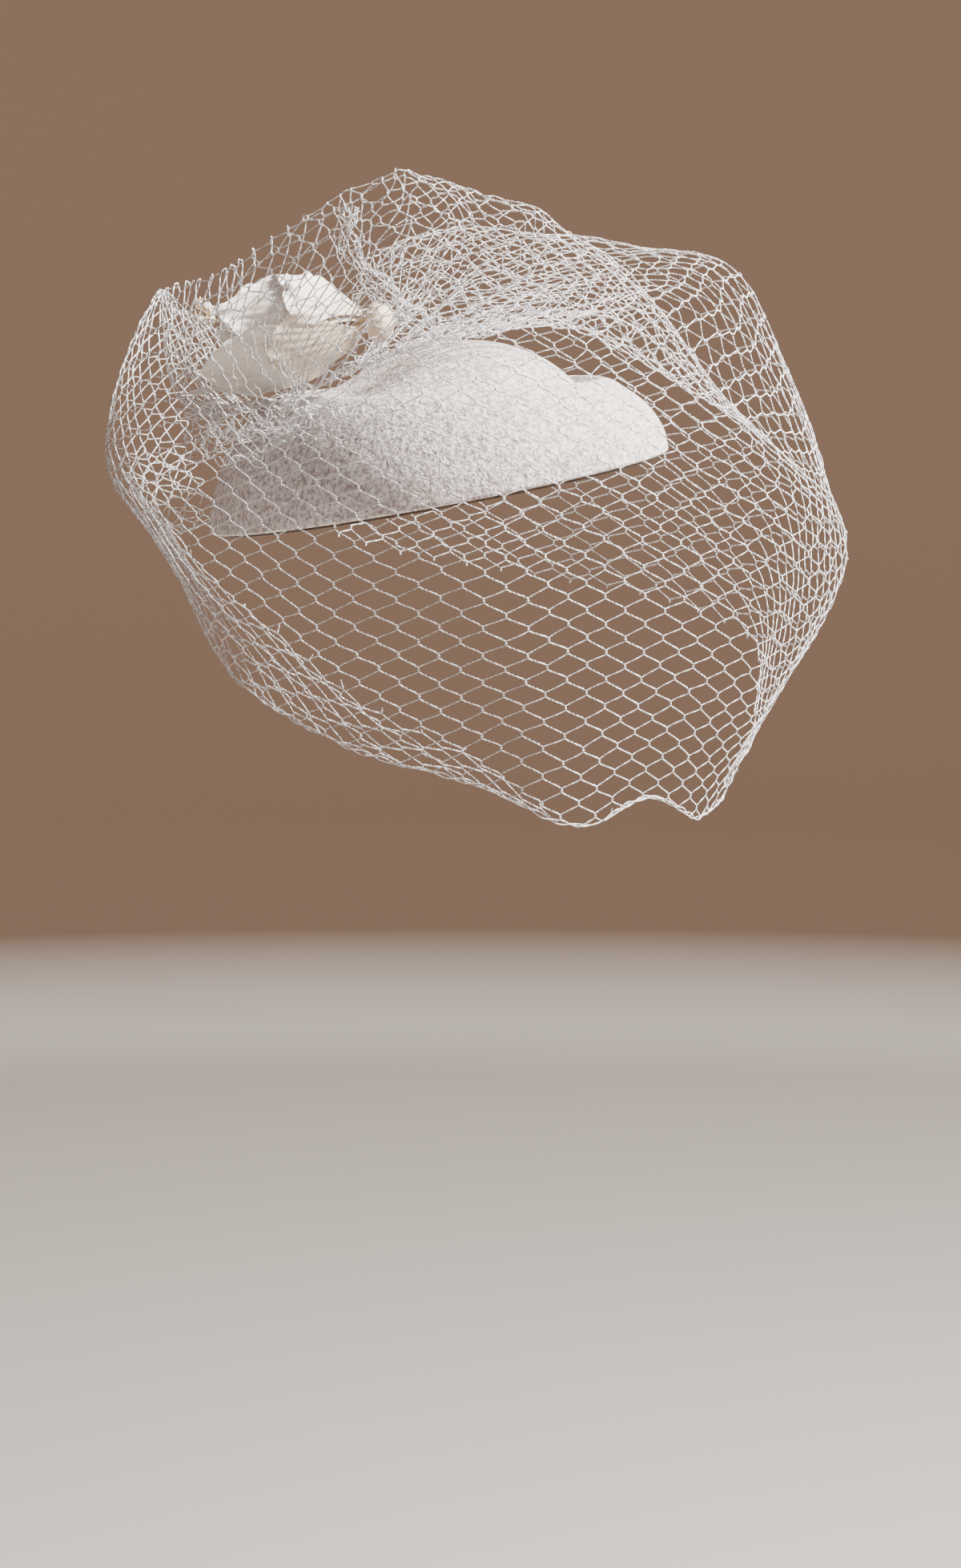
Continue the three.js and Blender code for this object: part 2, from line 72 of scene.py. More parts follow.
class Slot(Enum):
    """The record's names for the finishes."""

    FELT = "wool_felt"
    BINDING = "binding"
    NET = "net_thread"
    SILK = "silk_petal"
    PEARL = "pearl"
    COMB = "comb_plastic"


# --- Shape helpers --------------------------------------------------------------------------


def outward(azimuth: Any) -> np.ndarray:
    """Return the level unit vector at an azimuth.

    Args:
        azimuth: One azimuth or an array of them, in degrees.

    Returns:
        Unit vectors, with the coordinates on the last axis.
    """
    turn = np.radians(np.asarray(azimuth, float))
    return np.stack([-np.sin(turn), -np.cos(turn), np.zeros_like(turn)], -1)


def around(azimuth: float, pair: tuple[float, float]) -> np.ndarray:
    """Return the point at an azimuth, a distance from the Z axis and a height."""
    distance, height = pair
    return outward(azimuth) * distance + np.array([0.0, 0.0, height])


def smooth(low: float, high: float, value: Any) -> np.ndarray:
    """Return 0 at low and 1 at high, with an even start and finish between them."""
    part = np.clip((np.asarray(value, float) - low) / (high - low), 0.0, 1.0)
    return part * part * (3 - 2 * part)


def unit(vectors: np.ndarray) -> np.ndarray:
    """Return vectors scaled to length one."""
    length = np.linalg.norm(vectors, axis=-1, keepdims=True)
    return vectors / np.maximum(length, 1e-12)


def catmull_rom(points: np.ndarray, at: np.ndarray, centripetal: bool = False) -> np.ndarray:
    """Return points along smooth curves through rows of control points.

    Args:
        points: Control points, shaped (curves, controls, 3).
        at: Places along the curves, from 0 to 1.
        centripetal: Whether spans are timed by the root of their length.

    Returns:
        Points shaped (curves, places, 3).
    """
    last = points.shape[1] - 1
    before = 2 * points[:, :1] - points[:, 1:2]
    after = 2 * points[:, -1:] - points[:, -2:-1]
    chain = np.concatenate([before, points, after], axis=1)
    place = np.clip(at, 0.0, 1.0) * last
    span = np.minimum(place.astype(int), last - 1)
    share = (place - span)[None, :, None]
    a, b, c, d = (chain[:, span + k] for k in range(4))
    if centripetal:
        spans = ((a, b), (b, c), (c, d))
        steps = [np.sqrt(np.linalg.norm(q - p, axis=-1, keepdims=True)) for p, q in spans]
        first, middle, third = (np.maximum(step, 1e-9) for step in steps)
        start = middle * ((b - a) / first - (c - a) / (first + middle) + (c - b) / middle)
        end = middle * ((c - b) / middle - (d - b) / (middle + third) + (d - c) / third)
    else:
        start, end = (c - a) / 2, (d - b) / 2
    square, cube = share**2, share**3
    return (
        b * (2 * cube - 3 * square + 1)
        + start * (cube - 2 * square + share)
        + c * (3 * square - 2 * cube)
        + end * (cube - square)
    )


def grid_faces(rows: int, columns: int, closed: bool = False, start: int = 0) -> Faces:
    """Return the four-sided faces of a grid of points.

    Args:
        rows: Number of rows of points.
        columns: Number of points in a row.
        closed: Whether the last column meets the first.
        start: Index of the grid's first point.

    Returns:
        Faces that turn left when rows run up and columns run to the right.
    """
    faces = []
    for i in range(rows - 1):
        for j in range(columns if closed else columns - 1):
            k = (j + 1) % columns
            low, high = start + i * columns, start + (i + 1) * columns
            faces.append((low + j, low + k, high + k, high + j))
    return faces


def pole_faces(rows: int, sides: int, turned: bool = False) -> Faces:
    """Return the triangles that close both ends of a round grid.

    Args:
        rows: Number of rows of points in the grid.
        sides: Number of points in a row.
        turned: Whether the grid's own faces are turned over.

    Returns:
        Triangles from the first row to the first point after the grid, and from the last
        row to the second.
    """
    last, first_pole, last_pole = (rows - 1) * sides, rows * sides, rows * sides + 1
    faces = []
    for k in range(sides):
        after = (k + 1) % sides
        pair = [(after, k, first_pole), (last + k, last + after, last_pole)]
        faces += [(b, a, pole) for a, b, pole in pair] if turned else pair
    return faces


def joined(solids: list[tuple[np.ndarray, Faces]]) -> tuple[np.ndarray, Faces]:
    """Return several solids as one set of points and faces.

    Args:
        solids: The points and faces of each solid.

    Returns:
        All points and all faces, numbered together.
    """
    points, faces = [], []
    for more, rounds in solids:
        faces += [tuple(corner + len(points) for corner in face) for face in rounds]
        points += more.tolist()
    return np.array(points), faces


def grid_normals(grid: np.ndarray, closed: bool = False) -> np.ndarray:
    """Return the unit normals of a grid of points.

    Args:
        grid: Points with rows up and columns to the right.
        closed: Whether the last column meets the first.

    Returns:
        One normal for each point.
    """
    up = np.gradient(grid, axis=0)
    if closed:
        across = np.roll(grid, -1, axis=1) - np.roll(grid, 1, axis=1)
    else:
        across = np.gradient(grid, axis=1)
    return unit(np.cross(across, up))


def turbulence(points: np.ndarray, scale: float, offset: float = 0.0) -> np.ndarray:
    """Return smooth noise at each point.

    Args:
        points: Points with their coordinates on the last axis.
        scale: About how wide the features are.
        offset: A shift that gives another pattern.

    Returns:
        One value from -1 to 1 for each point.
    """
    flat = points.reshape(-1, 3) / scale + offset
    values = [noise.noise(Vector(p), noise_basis="PERLIN_ORIGINAL") for p in flat]
    return np.array(values).reshape(points.shape[:-1])


def waves(share: np.ndarray, climb: Any, parts: tuple[Wave, ...], base: Any = 0.0) -> np.ndarray:
    """Return a sum of waves.

    Args:
        share: Shares of the way along.
        climb: Distances, or shares, at right angles to it.
        parts: The waves.
        base: What they are added to.

    Returns:
        One value for each pair of places.
    """
    total = base
    for height, turns, lean, start in parts:
        total = total + height * np.sin(TWO_PI * turns * share + lean * climb + start)
    return total


def new_mesh_object(
    name: str,
    points: np.ndarray,
    faces: Faces,
    edges: np.ndarray | None = None,
) -> bpy.types.Object:
    """Make a smooth-shaded mesh object at the origin.

    Args:
        name: Name of the piece.
        points: Corner positions, shaped (count, 3).
        faces: Corner numbers of each face.
        edges: Corner numbers of loose edges, if there are any.

    Returns:
        The new object, linked to the scene.
    """
    mesh = bpy.data.meshes.new(name)
    loose = [] if edges is None else edges.tolist()
    mesh.from_pydata(np.asarray(points, float).tolist(), loose, faces)
    mesh.validate()
    if faces:
        mesh.polygons.foreach_set("use_smooth", [True] * len(mesh.polygons))
    piece = bpy.data.objects.new(name, mesh)
    bpy.context.scene.collection.objects.link(piece)
    return piece


def add_point_data(piece: bpy.types.Object, name: str, values: np.ndarray) -> None:
    """Store one number or one vector for each point of a mesh.

    Args:
        piece: The object whose mesh takes the values.
        name: Name of the attribute.
        values: Numbers shaped (count,) or vectors shaped (count, 3).
    """
    kind, key = ("FLOAT_VECTOR", "vector") if values.ndim == 2 else ("FLOAT", "value")
    layer = piece.data.attributes.new(name, kind, "POINT")
    layer.data.foreach_set(key, np.asarray(values, np.float32).ravel())


def add_uv(piece: bpy.types.Object, places: np.ndarray) -> None:
    """Give a mesh a UV map.

    Args:
        piece: The object whose mesh takes the map.
        places: One place for each point, in metres, shaped (count, 2).
    """
    layer = piece.data.uv_layers.new(name="UVMap")
    corners = np.empty(len(piece.data.loops), np.int32)
    piece.data.loops.foreach_get("vertex_index", corners)
    layer.data.foreach_set("uv", np.asarray(places, np.float32)[corners].ravel())


def dress(
    piece: bpy.types.Object, material: bpy.types.Material, slot: Slot, *nodes: str
) -> bpy.types.Object:
    """Give a piece its material, its body and the CAD nodes that it stands for.

    Args:
        piece: The finished piece.
        material: Its material.
        slot: The finish that the record names; not used.
        *nodes: The CAD nodes that it replaces.

    Returns:
        The same piece.
    """
    piece.data.materials.clear()
    piece.data.materials.append(material)
    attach(piece, BODY)
    if nodes:
        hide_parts(*nodes)
    triangles = sum(len(face.vertices) - 2 for face in piece.data.polygons)
    LOG.info("%s: %d triangles", piece.name, triangles)
    return piece


# --- Node helpers ---------------------------------------------------------------------------


class TreeMaker:
    """Adds nodes to one tree and wires them."""

    def __init__(self, tree: bpy.types.NodeTree) -> None:
        """Take the tree that nodes are added to."""
        self.tree = tree

    def add(self, kind: str, links: dict[Any, Any] | None = None, **settings: Any) -> bpy.types.Node:
        """Add a node.

        Args:
            kind: Blender's name for the kind of node.
            links: What feeds each input, by name or number: a socket or a plain value.
            **settings: The node's own properties.

        Returns:
            The new node.
        """
        node = self.tree.nodes.new(kind)
        for key, value in settings.items():
            setattr(node, key, value)
        for key, value in (links or {}).items():
            target = node.inputs[key]
            if isinstance(value, bpy.types.NodeSocket):
                self.tree.links.new(value, target)
            else:
                target.default_value = value
        return node

    def math(self, operation: str, *values: Any) -> bpy.types.NodeSocket:
        """Add a math node and return its result."""
        return self.add("ShaderNodeMath", dict(enumerate(values)), operation=operation).outputs[0]

    def mix(self, factor: Any, first: Any, second: Any) -> bpy.types.NodeSocket:
        """Add a colour mix and return its result."""
        node = self.add("ShaderNodeMix", {0: factor, 6: first, 7: second}, data_type="RGBA")
        return node.outputs[2]

    def span(
        self, value: Any, low: float, high: float, to_low: float, to_high: float
    ) -> bpy.types.NodeSocket:
        """Add a node that maps one range to another and return its result."""
        links = {0: value, 1: low, 2: high, 3: to_low, 4: to_high}
        return self.add("ShaderNodeMapRange", links).outputs[0]

    def stored(self, name: str) -> bpy.types.NodeSocket:
        """Add a shader node that reads a stored number and return its result."""
        return self.add("ShaderNodeAttribute", attribute_name=name).outputs["Fac"]

    def colour(self, shader: bpy.types.Node, colour: bpy.types.NodeSocket) -> None:
        """Feed a colour to a shader."""
        self.tree.links.new(colour, shader.inputs["Base Color"])

    def relief(self, shader: bpy.types.Node, height: Any, strength: float, depth: float) -> None:
        """Give a shader a bumpy surface.

        Args:
            shader: The shader.
            height: The socket with the height.
            strength: How strongly it shows.
            depth: The depth of the full height.
        """
        bump = self.add("ShaderNodeBump", {"Strength": strength, "Distance": depth, "Height": height})
        self.tree.links.new(bump.outputs[0], shader.inputs["Normal"])

    def group_input(self, name: str, kind: str, value: Any = None) -> None:
        """Add a named input to a group.

        Args:
            name: Name of the input.
            kind: Blender's name for the kind of socket.
            value: Its usual value, if it has one.
        """
        socket = self.tree.interface.new_socket(name=name, in_out="INPUT", socket_type=kind)
        if value is not None:
            socket.default_value = value

    def group_output(self, name: str, kind: str) -> None:
        """Add a named output to a group."""
        self.tree.interface.new_socket(name=name, in_out="OUTPUT", socket_type=kind)


def opaque(colour: Colour) -> tuple[float, float, float, float]:
    """Return a colour with full opacity."""
    return (*colour, 1.0)


def fuzz_group() -> bpy.types.NodeTree:
    """Build the grain of felted fibre, once, as a shader node group.

    Returns:
        The group, with the fibre's tone, its patches and its height.
    """
    name = "fibre_fuzz"
    if name in bpy.data.node_groups:
        return bpy.data.node_groups[name]
    tree = bpy.data.node_groups.new(name, "ShaderNodeTree")
    maker = TreeMaker(tree)
    maker.group_input("Vector", "NodeSocketVector")
    maker.group_input("Fibre Scale", "NodeSocketFloat", 1500.0)
    maker.group_input("Clump Scale", "NodeSocketFloat", 260.0)
    maker.group_output("Tone", "NodeSocketFloat")
    maker.group_output("Patch", "NodeSocketFloat")
    maker.group_output("Height", "NodeSocketFloat")
    inside = maker.add("NodeGroupInput")
    vector, fibre_scale, clump_scale = (inside.outputs[k] for k in range(3))
    fibre = maker.add(
        "ShaderNodeTexNoise", {"Vector": vector, "Scale": fibre_scale, "Detail": 3.0, "Roughness": 0.7}
    )
    clump = maker.add(
        "ShaderNodeTexNoise", {"Vector": vector, "Scale": clump_scale, "Detail": 4.0, "Distortion": 0.6}
    )
    height = maker.math("ADD", fibre.outputs[0], maker.math("MULTIPLY", clump.outputs[0], 1.3))
    out = maker.add("NodeGroupOutput")
    tree.links.new(maker.span(fibre.outputs[0], 0.32, 0.68, 0.0, 1.0), out.inputs[0])
    tree.links.new(maker.span(clump.outputs[0], 0.3, 0.7, 0.0, 1.0), out.inputs[1])
    tree.links.new(height, out.inputs[2])
    return tree


def new_material(
    name: str, roughness: float, sheen: float = 0.0
) -> tuple[bpy.types.Material, TreeMaker, bpy.types.Node]:
    """Make a material with one Principled shader.

    Args:
        name: Name of the material.
        roughness: The shader's roughness.
        sheen: Weight of the soft sheen of fibres.

    Returns:
        The material, a maker for its tree and its shader.
    """
    material = bpy.data.materials.new(name)
    material.use_nodes = True
    shader = material.node_tree.nodes["Principled BSDF"]
    shader.inputs["Roughness"].default_value = roughness
    shader.inputs["Sheen Weight"].default_value = sheen
    shader.inputs["Sheen Roughness"].default_value = 0.4
    return material, TreeMaker(material.node_tree), shader


@dataclass(frozen=True)
class FeltFinish:
    """Pressed wool felt with a fine grain of fibre ends."""

    light: Colour = (0.88, 0.85, 0.81)
    shade: Colour = (0.30, 0.225, 0.235)
    warm: Colour = (0.78, 0.70, 0.64)
    fibre_scale: float = 620.0
    clump_scale: float = 190.0
    patchiness: float = 0.4
    depth: float = 0.0009

    def build(self) -> bpy.types.Material:
        """Build the felt's node tree.

        Returns:
            The material.
        """
        material, maker, shader = new_material("wool_felt_ivory", 0.95, 0.1)
        place = maker.add("ShaderNodeTexCoord").outputs["Object"]
        fuzz = maker.add("ShaderNodeGroup", node_tree=fuzz_group())
        maker.tree.links.new(place, fuzz.inputs["Vector"])
        fuzz.inputs["Fibre Scale"].default_value = self.fibre_scale
        fuzz.inputs["Clump Scale"].default_value = self.clump_scale
        speck = maker.span(fuzz.outputs["Tone"], 0.12, 0.9, 0.95, 0.0)
        patch = maker.math("MULTIPLY", fuzz.outputs["Patch"], self.patchiness)
        base = maker.mix(patch, opaque(self.light), opaque(self.warm))
        maker.colour(shader, maker.mix(speck, base, opaque(self.shade)))
        maker.relief(shader, fuzz.outputs["Height"], 1.0, self.depth)
        return material


@dataclass(frozen=True)
class ThreadFinish:
    """Two-ply thread: the twist shows as a slanted groove round the strand, with painted shade darkening the
    groove.
    """

    name: str
    light: Colour = (0.92, 0.90, 0.90)
    # Painted shade: the darker colour painted into the groove between the plies.
    groove_shade: Colour = (0.62, 0.57, 0.60)
    twist: float = 0.0021
    depth: float = 0.0002

    def build(self) -> bpy.types.Material:
        """Build the thread's node tree.

        Returns:
            The material.
        """
        material, maker, shader = new_material(self.name, 0.6, 0.2)
        along, sine, cosine = (maker.stored(name) for name in ("along", "ply_sine", "ply_cosine"))
        turn = maker.math("MULTIPLY", along, TWO_PI / self.twist)
        wave = maker.math(
            "ADD",
            maker.math("MULTIPLY", sine, maker.math("COSINE", turn)),
            maker.math("MULTIPLY", cosine, maker.math("SINE", turn)),
        )
        # Painted shade: the colour darkens where the groove between the plies lies.
        groove_shade = maker.span(wave, -1.0, 0.1, 1.0, 0.0)
        maker.colour(shader, maker.mix(groove_shade, opaque(self.light), opaque(self.groove_shade)))
        maker.relief(shader, wave, 0.7, self.depth)
        return material


@dataclass(frozen=True)
class SilkFinish:
    """Plain-woven silk, with painted shade that darkens it at the foot of a petal and leaves it paler at its
    edge, and a painted tan shade on some petals.
    """

    tip: Colour = (0.94, 0.90, 0.84)
    middle: Colour = (0.92, 0.86, 0.78)
    # Painted shade: the darker colour at the foot of each petal, deep in the cup; the weave's darker threads
    # use it too.
    foot: Colour = (0.58, 0.45, 0.28)
    blush: Colour = (0.80, 0.62, 0.52)
    # Painted shade: a tan shade laid over whole petals, most of all over the near wrapping petal.
    painted_shade_tan: Colour = (0.55, 0.42, 0.27)
    thread: float = 0.00042
    depth: float = 0.00015
    cloud_scale: float = 70.0

    def build(self) -> bpy.types.Material:
        """Build the silk's node tree.

        Returns:
            The material.
        """
        material, maker, shader = new_material("silk_petal_cream", 0.5, 0.35)
        flat = maker.add("ShaderNodeUVMap", uv_map="UVMap").outputs[0]
        parts = maker.add("ShaderNodeSeparateXYZ", {0: flat}).outputs
        rate = TWO_PI / self.thread
        warp, weft = (maker.math("SINE", maker.math("MULTIPLY", parts[k], rate)) for k in (0, 1))
        weave = maker.math("MULTIPLY", warp, weft)
        share = maker.stored("petal_share")
        place = maker.add("ShaderNodeTexCoord").outputs["Object"]
        cloud = maker.add("ShaderNodeTexNoise", {"Vector": place, "Scale": self.cloud_scale, "Detail": 3.0})
        # Painted shade: the colour darkens from the middle of the petal towards its foot.
        base = maker.mix(maker.span(share, 0.05, 0.45, 0.0, 1.0), opaque(self.foot), opaque(self.middle))
        base = maker.mix(maker.span(share, 0.4, 0.95, 0.0, 1.0), base, opaque(self.tip))
        base = maker.mix(maker.span(cloud.outputs[0], 0.42, 0.7, 0.0, 0.6), base, opaque(self.blush))
        # Painted shade: each petal's stored tone mixes in the tan shade.
        tone = maker.stored("petal_tone")
        base = maker.mix(maker.math("MULTIPLY", tone, 0.7), base, opaque(self.painted_shade_tan))
        maker.colour(shader, maker.mix(maker.span(weave, -1.0, 1.0, 0.22, 0.0), base, opaque(self.foot)))
        maker.relief(shader, weave, 0.35, self.depth)
        return material


@dataclass(frozen=True)
class PlainFinish:
    """A smooth finish with slight mottling: ribbon, pearl, gold bead or moulded comb."""

    name: str
    colour: Colour
    second: Colour
    roughness: float
    metallic: float = 0.0
    coat: float = 0.0
    sheen: float = 0.0
    mottle: float = 400.0
    depth: float = 0.0001

    def build(self) -> bpy.types.Material:
        """Build the finish's node tree.

        Returns:
            The material.
        """
        material, maker, shader = new_material(self.name, self.roughness, self.sheen)
        shader.inputs["Metallic"].default_value = self.metallic
        shader.inputs["Coat Weight"].default_value = self.coat
        place = maker.add("ShaderNodeTexCoord").outputs["Object"]
        cloud = maker.add("ShaderNodeTexNoise", {"Vector": place, "Scale": self.mottle, "Detail": 3.0})
        tone = maker.span(cloud.outputs[0], 0.35, 0.65, 0.0, 1.0)
        maker.colour(shader, maker.mix(tone, opaque(self.colour), opaque(self.second)))
        maker.relief(shader, cloud.outputs[0], 0.2, self.depth)
        return material


RIBBON_FINISH = PlainFinish("binding_brown", (0.10, 0.055, 0.03), (0.05, 0.028, 0.018), 0.8, sheen=0.3)
PEARL_FINISH = PlainFinish("pearl_cream", (0.92, 0.87, 0.78), (0.88, 0.80, 0.70), 0.18, coat=0.6)
COMB_FINISH = PlainFinish("comb_ivory", (0.78, 0.74, 0.68), (0.72, 0.68, 0.62), 0.35, coat=0.2)
BEAD_FINISH = PlainFinish("bead_gold", (0.80, 0.58, 0.26), (0.70, 0.46, 0.18), 0.22, metallic=1.0)
STEM_FINISH = PlainFinish("stem_cream", (0.80, 0.74, 0.62), (0.72, 0.64, 0.50), 0.6)


# --- The studio -----------------------------------------------------------------------------


@dataclass(frozen=True)
class Lamp:
    """A square soft light: how far it is to the camera's right, above the hat and nearer."""

    name: str
    right: float
    above: float
    nearer: float
    size: float
    power: float
    colour: Colour


@dataclass
class Studio:
    """Camera, soft lights, a pale floor and a plain backdrop."""

    eye: Point = (-0.9116, -0.9269, 0.0343)
    pitch: float = 8.0
    heading: float = -45.0
    lens: float = 88.5
    sensor: float = 36.0
    sight: float = 50.0
    floor_height: float = -0.9
    floor_colour: Colour = (0.50, 0.46, 0.42)
    wall_colour: Colour = (0.135, 0.083, 0.056)
    # How far each ring of the stage is from the middle, and how high it is above the floor.
    stage_rings: tuple[tuple[float, float], ...] = (
        (0.0, 0.0), (1.6, 0.0), (3.0, 0.0), (3.14, 0.015), (3.24, 0.08), (3.3, 0.25), (3.3, 3.2),
    )
    stage_sides: int = 128
    # How high above the floor the wall's colour starts, and where it is full.
    skirting: tuple[float, float] = (0.02, 0.12)
    aim: Point = (0.0, 0.0, -0.03)
    lamps: tuple[Lamp, ...] = (
        Lamp("key_light", 1.8, 1.5, 0.1, 0.5, 430.0, (1.0, 0.97, 0.93)),
        Lamp("front_light", 0.2, 0.9, 1.6, 0.9, 6.0, (1.0, 0.94, 0.98)),
    )
    room_colour: Colour = (0.99, 0.91, 0.98)
    room_strength: float = 0.15

    def build_camera(self) -> bpy.types.Object:
        """Place the camera, which looks slightly down at the hat.

        Returns:
            The camera.
        """
        data = bpy.data.cameras.new("camera")
        data.lens = self.lens
        data.sensor_width = self.sensor
        data.clip_end = self.sight
        camera = bpy.data.objects.new("camera", data)
        camera.location = self.eye
        camera.rotation_euler = (math.radians(90 - self.pitch), 0.0, math.radians(self.heading))
        bpy.context.scene.collection.objects.link(camera)
        bpy.context.scene.camera = camera
        return camera

    def build_stage(self) -> None:
        """Make the round pale floor that turns up into an open-topped backdrop."""
        turn = TWO_PI * np.arange(self.stage_sides) / self.stage_sides
        rows = []
        for radius, lift in self.stage_rings:
            level = np.full(self.stage_sides, self.floor_height + lift)
            rows.append(np.stack([radius * np.cos(turn), radius * np.sin(turn), level], -1))
        faces = grid_faces(len(rows), self.stage_sides, closed=True)
        stage = new_mesh_object("studio_floor", np.concatenate(rows), faces)
        material, maker, shader = new_material("studio_paint", 0.9)
        place = maker.add("ShaderNodeTexCoord").outputs["Object"]
        height = maker.add("ShaderNodeSeparateXYZ", {0: place}).outputs[2]
        low, high = (self.floor_height + lift for lift in self.skirting)
        wall = maker.span(height, low, high, 0.0, 1.0)
        maker.colour(shader, maker.mix(wall, opaque(self.floor_colour), opaque(self.wall_colour)))
        stage.data.materials.append(material)

    def add_lamp(self, lamp: Lamp) -> None:
        """Add a soft light that points at the hat.

        Args:
            lamp: The light.
        """
        turn = math.radians(self.heading)
        right = Vector((math.cos(turn), math.sin(turn), 0.0))
        near = Vector((math.sin(turn), -math.cos(turn), 0.0))
        up = Vector((0.0, 0.0, 1.0))
        place = right * lamp.right + up * lamp.above + near * lamp.nearer
        data = bpy.data.lights.new(lamp.name, "AREA")
        data.size = lamp.size
        data.energy = lamp.power
        data.color = lamp.colour
        holder = bpy.data.objects.new(lamp.name, data)
        holder.location = place
        holder.rotation_euler = (Vector(self.aim) - place).to_track_quat("-Z", "Y").to_euler()
        bpy.context.scene.collection.objects.link(holder)

    def build_lights(self) -> None:
        """Add the key from the upper right, the low fill and an even room light."""
        for lamp in self.lamps:
            self.add_lamp(lamp)
        world = bpy.data.worlds.new("room_light")
        bpy.context.scene.world = world
        world.use_nodes = True
        background = world.node_tree.nodes["Background"]
        background.inputs[0].default_value = opaque(self.room_colour)
        background.inputs[1].default_value = self.room_strength


# --- The felt -------------------------------------------------------------------------------


@dataclass
class FeltBase:
    """The shallow felt saucer with its small dome and the ribbon inside its rim."""

    # Each ring: how far its centre lies towards the lean, its height, its radius, and by
    # how many degrees its lean side is lower.
    rings: tuple[tuple[float, float, float, float], ...] = (
        (0.0032, -0.0479, 0.0785, 10.3),
        (0.0036, -0.0400, 0.0770, 9.5),
        (0.0040, -0.0290, 0.0715, 7.5),
        (0.0040, -0.0190, 0.0630, 5.0),
        (0.0034, -0.0150, 0.0580, 4.0),
        (0.0028, -0.0137, 0.0550, 3.2),
        (0.0022, -0.0140, 0.0528, 2.6),
        (0.0010, -0.0153, 0.0490, 2.1),
        (-0.0012, -0.0148, 0.0436, 1.6),
        (-0.0030, -0.0112, 0.0375, 1.3),
        (-0.0040, -0.0076, 0.0325, 1.0),
        (-0.0045, -0.0030, 0.0245, 0.5),
        (-0.0050, 0.0008, 0.0130, 0.0),
        (-0.0050, 0.0020, 0.0, 0.0),
    )
    sides: int = 192
    levels: int = 84
    # How wide the uneven places of the felt are, and how far they stand out.
    broad_wander: tuple[float, float] = (0.02, 0.00035)
    fine_wander: tuple[float, float] = (0.005, 0.00008)
    rim_turns: tuple[float, ...] = (-60, -30, 0, 30, 60)
    rim_fullness: float = 0.8
    binding_width: float = 0.001
    binding_gap: float = 0.0008
    # The ribbon's section: shares of half its width, and heights in metres.
    binding_section: tuple[tuple[float, float], ...] = (
        (1, -0.0018), (1, 0.0), (1, 0.0016), (0.5, 0.0020), (-0.5, 0.0020),
        (-1, 0.0016), (-1, 0.0), (-1, -0.0018), (-0.5, -0.0020), (0.5, -0.0020),
    )

    def ring_points(self, ring: np.ndarray, angles: np.ndarray) -> np.ndarray:
        """Return points of rings.

        Args:
            ring: Shift, height, radius and tilt of each ring on the last axis.
            angles: Places round each ring, from the side that it leans to, in radians.

        Returns:
            Points with their coordinates on a new last axis.
        """
        shift, height, radius, tilt = (ring[..., k] for k in range(4))
        lean, facing = outward(LEAN_AZIMUTH), outward(FACING_AZIMUTH)
        along = radius * np.cos(angles)
        drop = np.radians(tilt)
        level = (shift + along * np.cos(drop))[..., None] * lean
        level = level + (radius * np.sin(angles))[..., None] * facing
        level[..., 2] = height - along * np.sin(drop)
        return level

    def outside(self) -> np.ndarray:
        """Work out the outside of the felt.

        Returns:
            A grid of points, rim first.
        """
        rings = np.array(self.rings)
        levels = np.linspace(0, 1, self.levels)
        three = catmull_rom(rings[None, :, :3], levels, centripetal=True)[0]
        tilt = np.interp(levels, np.linspace(0, 1, len(rings)), rings[:, 3])
        fine = np.concatenate([three, tilt[:, None]], axis=1)
        fine[:, 2] = np.maximum(fine[:, 2], 0.0)
        angles = TWO_PI * np.arange(self.sides) / self.sides
        grid = np.repeat(fine[:, None], self.sides, 1)
        return self.ring_points(grid, np.repeat(angles[None], self.levels, 0))

    def build(self, felt: bpy.types.Material) -> bpy.types.Object:
        """Make the felt body, a closed wall of even thickness with a rounded rim.

        Args:
            felt: The felt's material.

        Returns:
            The piece.
        """
        outer = self.outside()
        normals = grid_normals(outer, closed=True)
        normals[-1] = (0.0, 0.0, 1.0)
        (broad, swell), (fine, ripple) = self.broad_wander, self.fine_wander
        wander = turbulence(outer, broad) * swell + turbulence(outer, fine, 7.0) * ripple
        outer = outer + normals * wander[..., None]
        inner = outer - normals * FELT
        half = FELT / 2
        middle = (outer[0] + inner[0]) / 2
        down = unit(outer[0] - outer[1])
        rim = []
        for turn in np.radians(self.rim_turns):
            lip = down * half * self.rim_fullness * math.cos(turn)
            rim.append(middle + lip + normals[0] * half * math.sin(turn))
        rows = np.concatenate([inner[::-1][1:], np.array(rim), outer[:-1]])
        faces = grid_faces(len(rows), self.sides, closed=True) + pole_faces(len(rows), self.sides)
        points = np.concatenate([rows.reshape(-1, 3), [inner[-1].mean(0), outer[-1].mean(0)]])
        piece = new_mesh_object("felt_body", points, faces)
        return dress(piece, felt, Slot.FELT, "hat_body")

    def surface(self) -> BVHTree:
        """Return the outside of the felt, for what lies on it to rest against.

        Returns:
            The surface, which can be searched for its nearest point.
        """
        grid = self.outside()[:-1]
        points = [Vector(point) for point in grid.reshape(-1, 3)]
        return BVHTree.FromPolygons(points, grid_faces(len(grid), self.sides, closed=True))

    def build_binding(self, ribbon: bpy.types.Material) -> bpy.types.Object:
        """Make the narrow ribbon sewn inside the rim.

        Args:
            ribbon: The ribbon's material.

        Returns:
            The piece.
        """
        shift, height, radius, tilt = self.rings[0]
        half = self.binding_width / 2
        middle = radius - FELT - self.binding_gap - half
        columns = self.sides * 2
        angles = TWO_PI * np.arange(columns) / columns
        rows = []
        for across, lift in self.binding_section:
            ring = np.array([shift, height + lift, middle + half * across, tilt])
            rows.append(self.ring_points(np.repeat(ring[None], columns, 0), angles))
        points = np.concatenate(rows)
        faces = grid_faces(len(rows) + 1, columns, closed=True)
        faces = [tuple(corner % len(points) for corner in face) for face in faces]
        piece = new_mesh_object("rim_ribbon", points, faces)
        return dress(piece, ribbon, Slot.BINDING, "rim_binding")


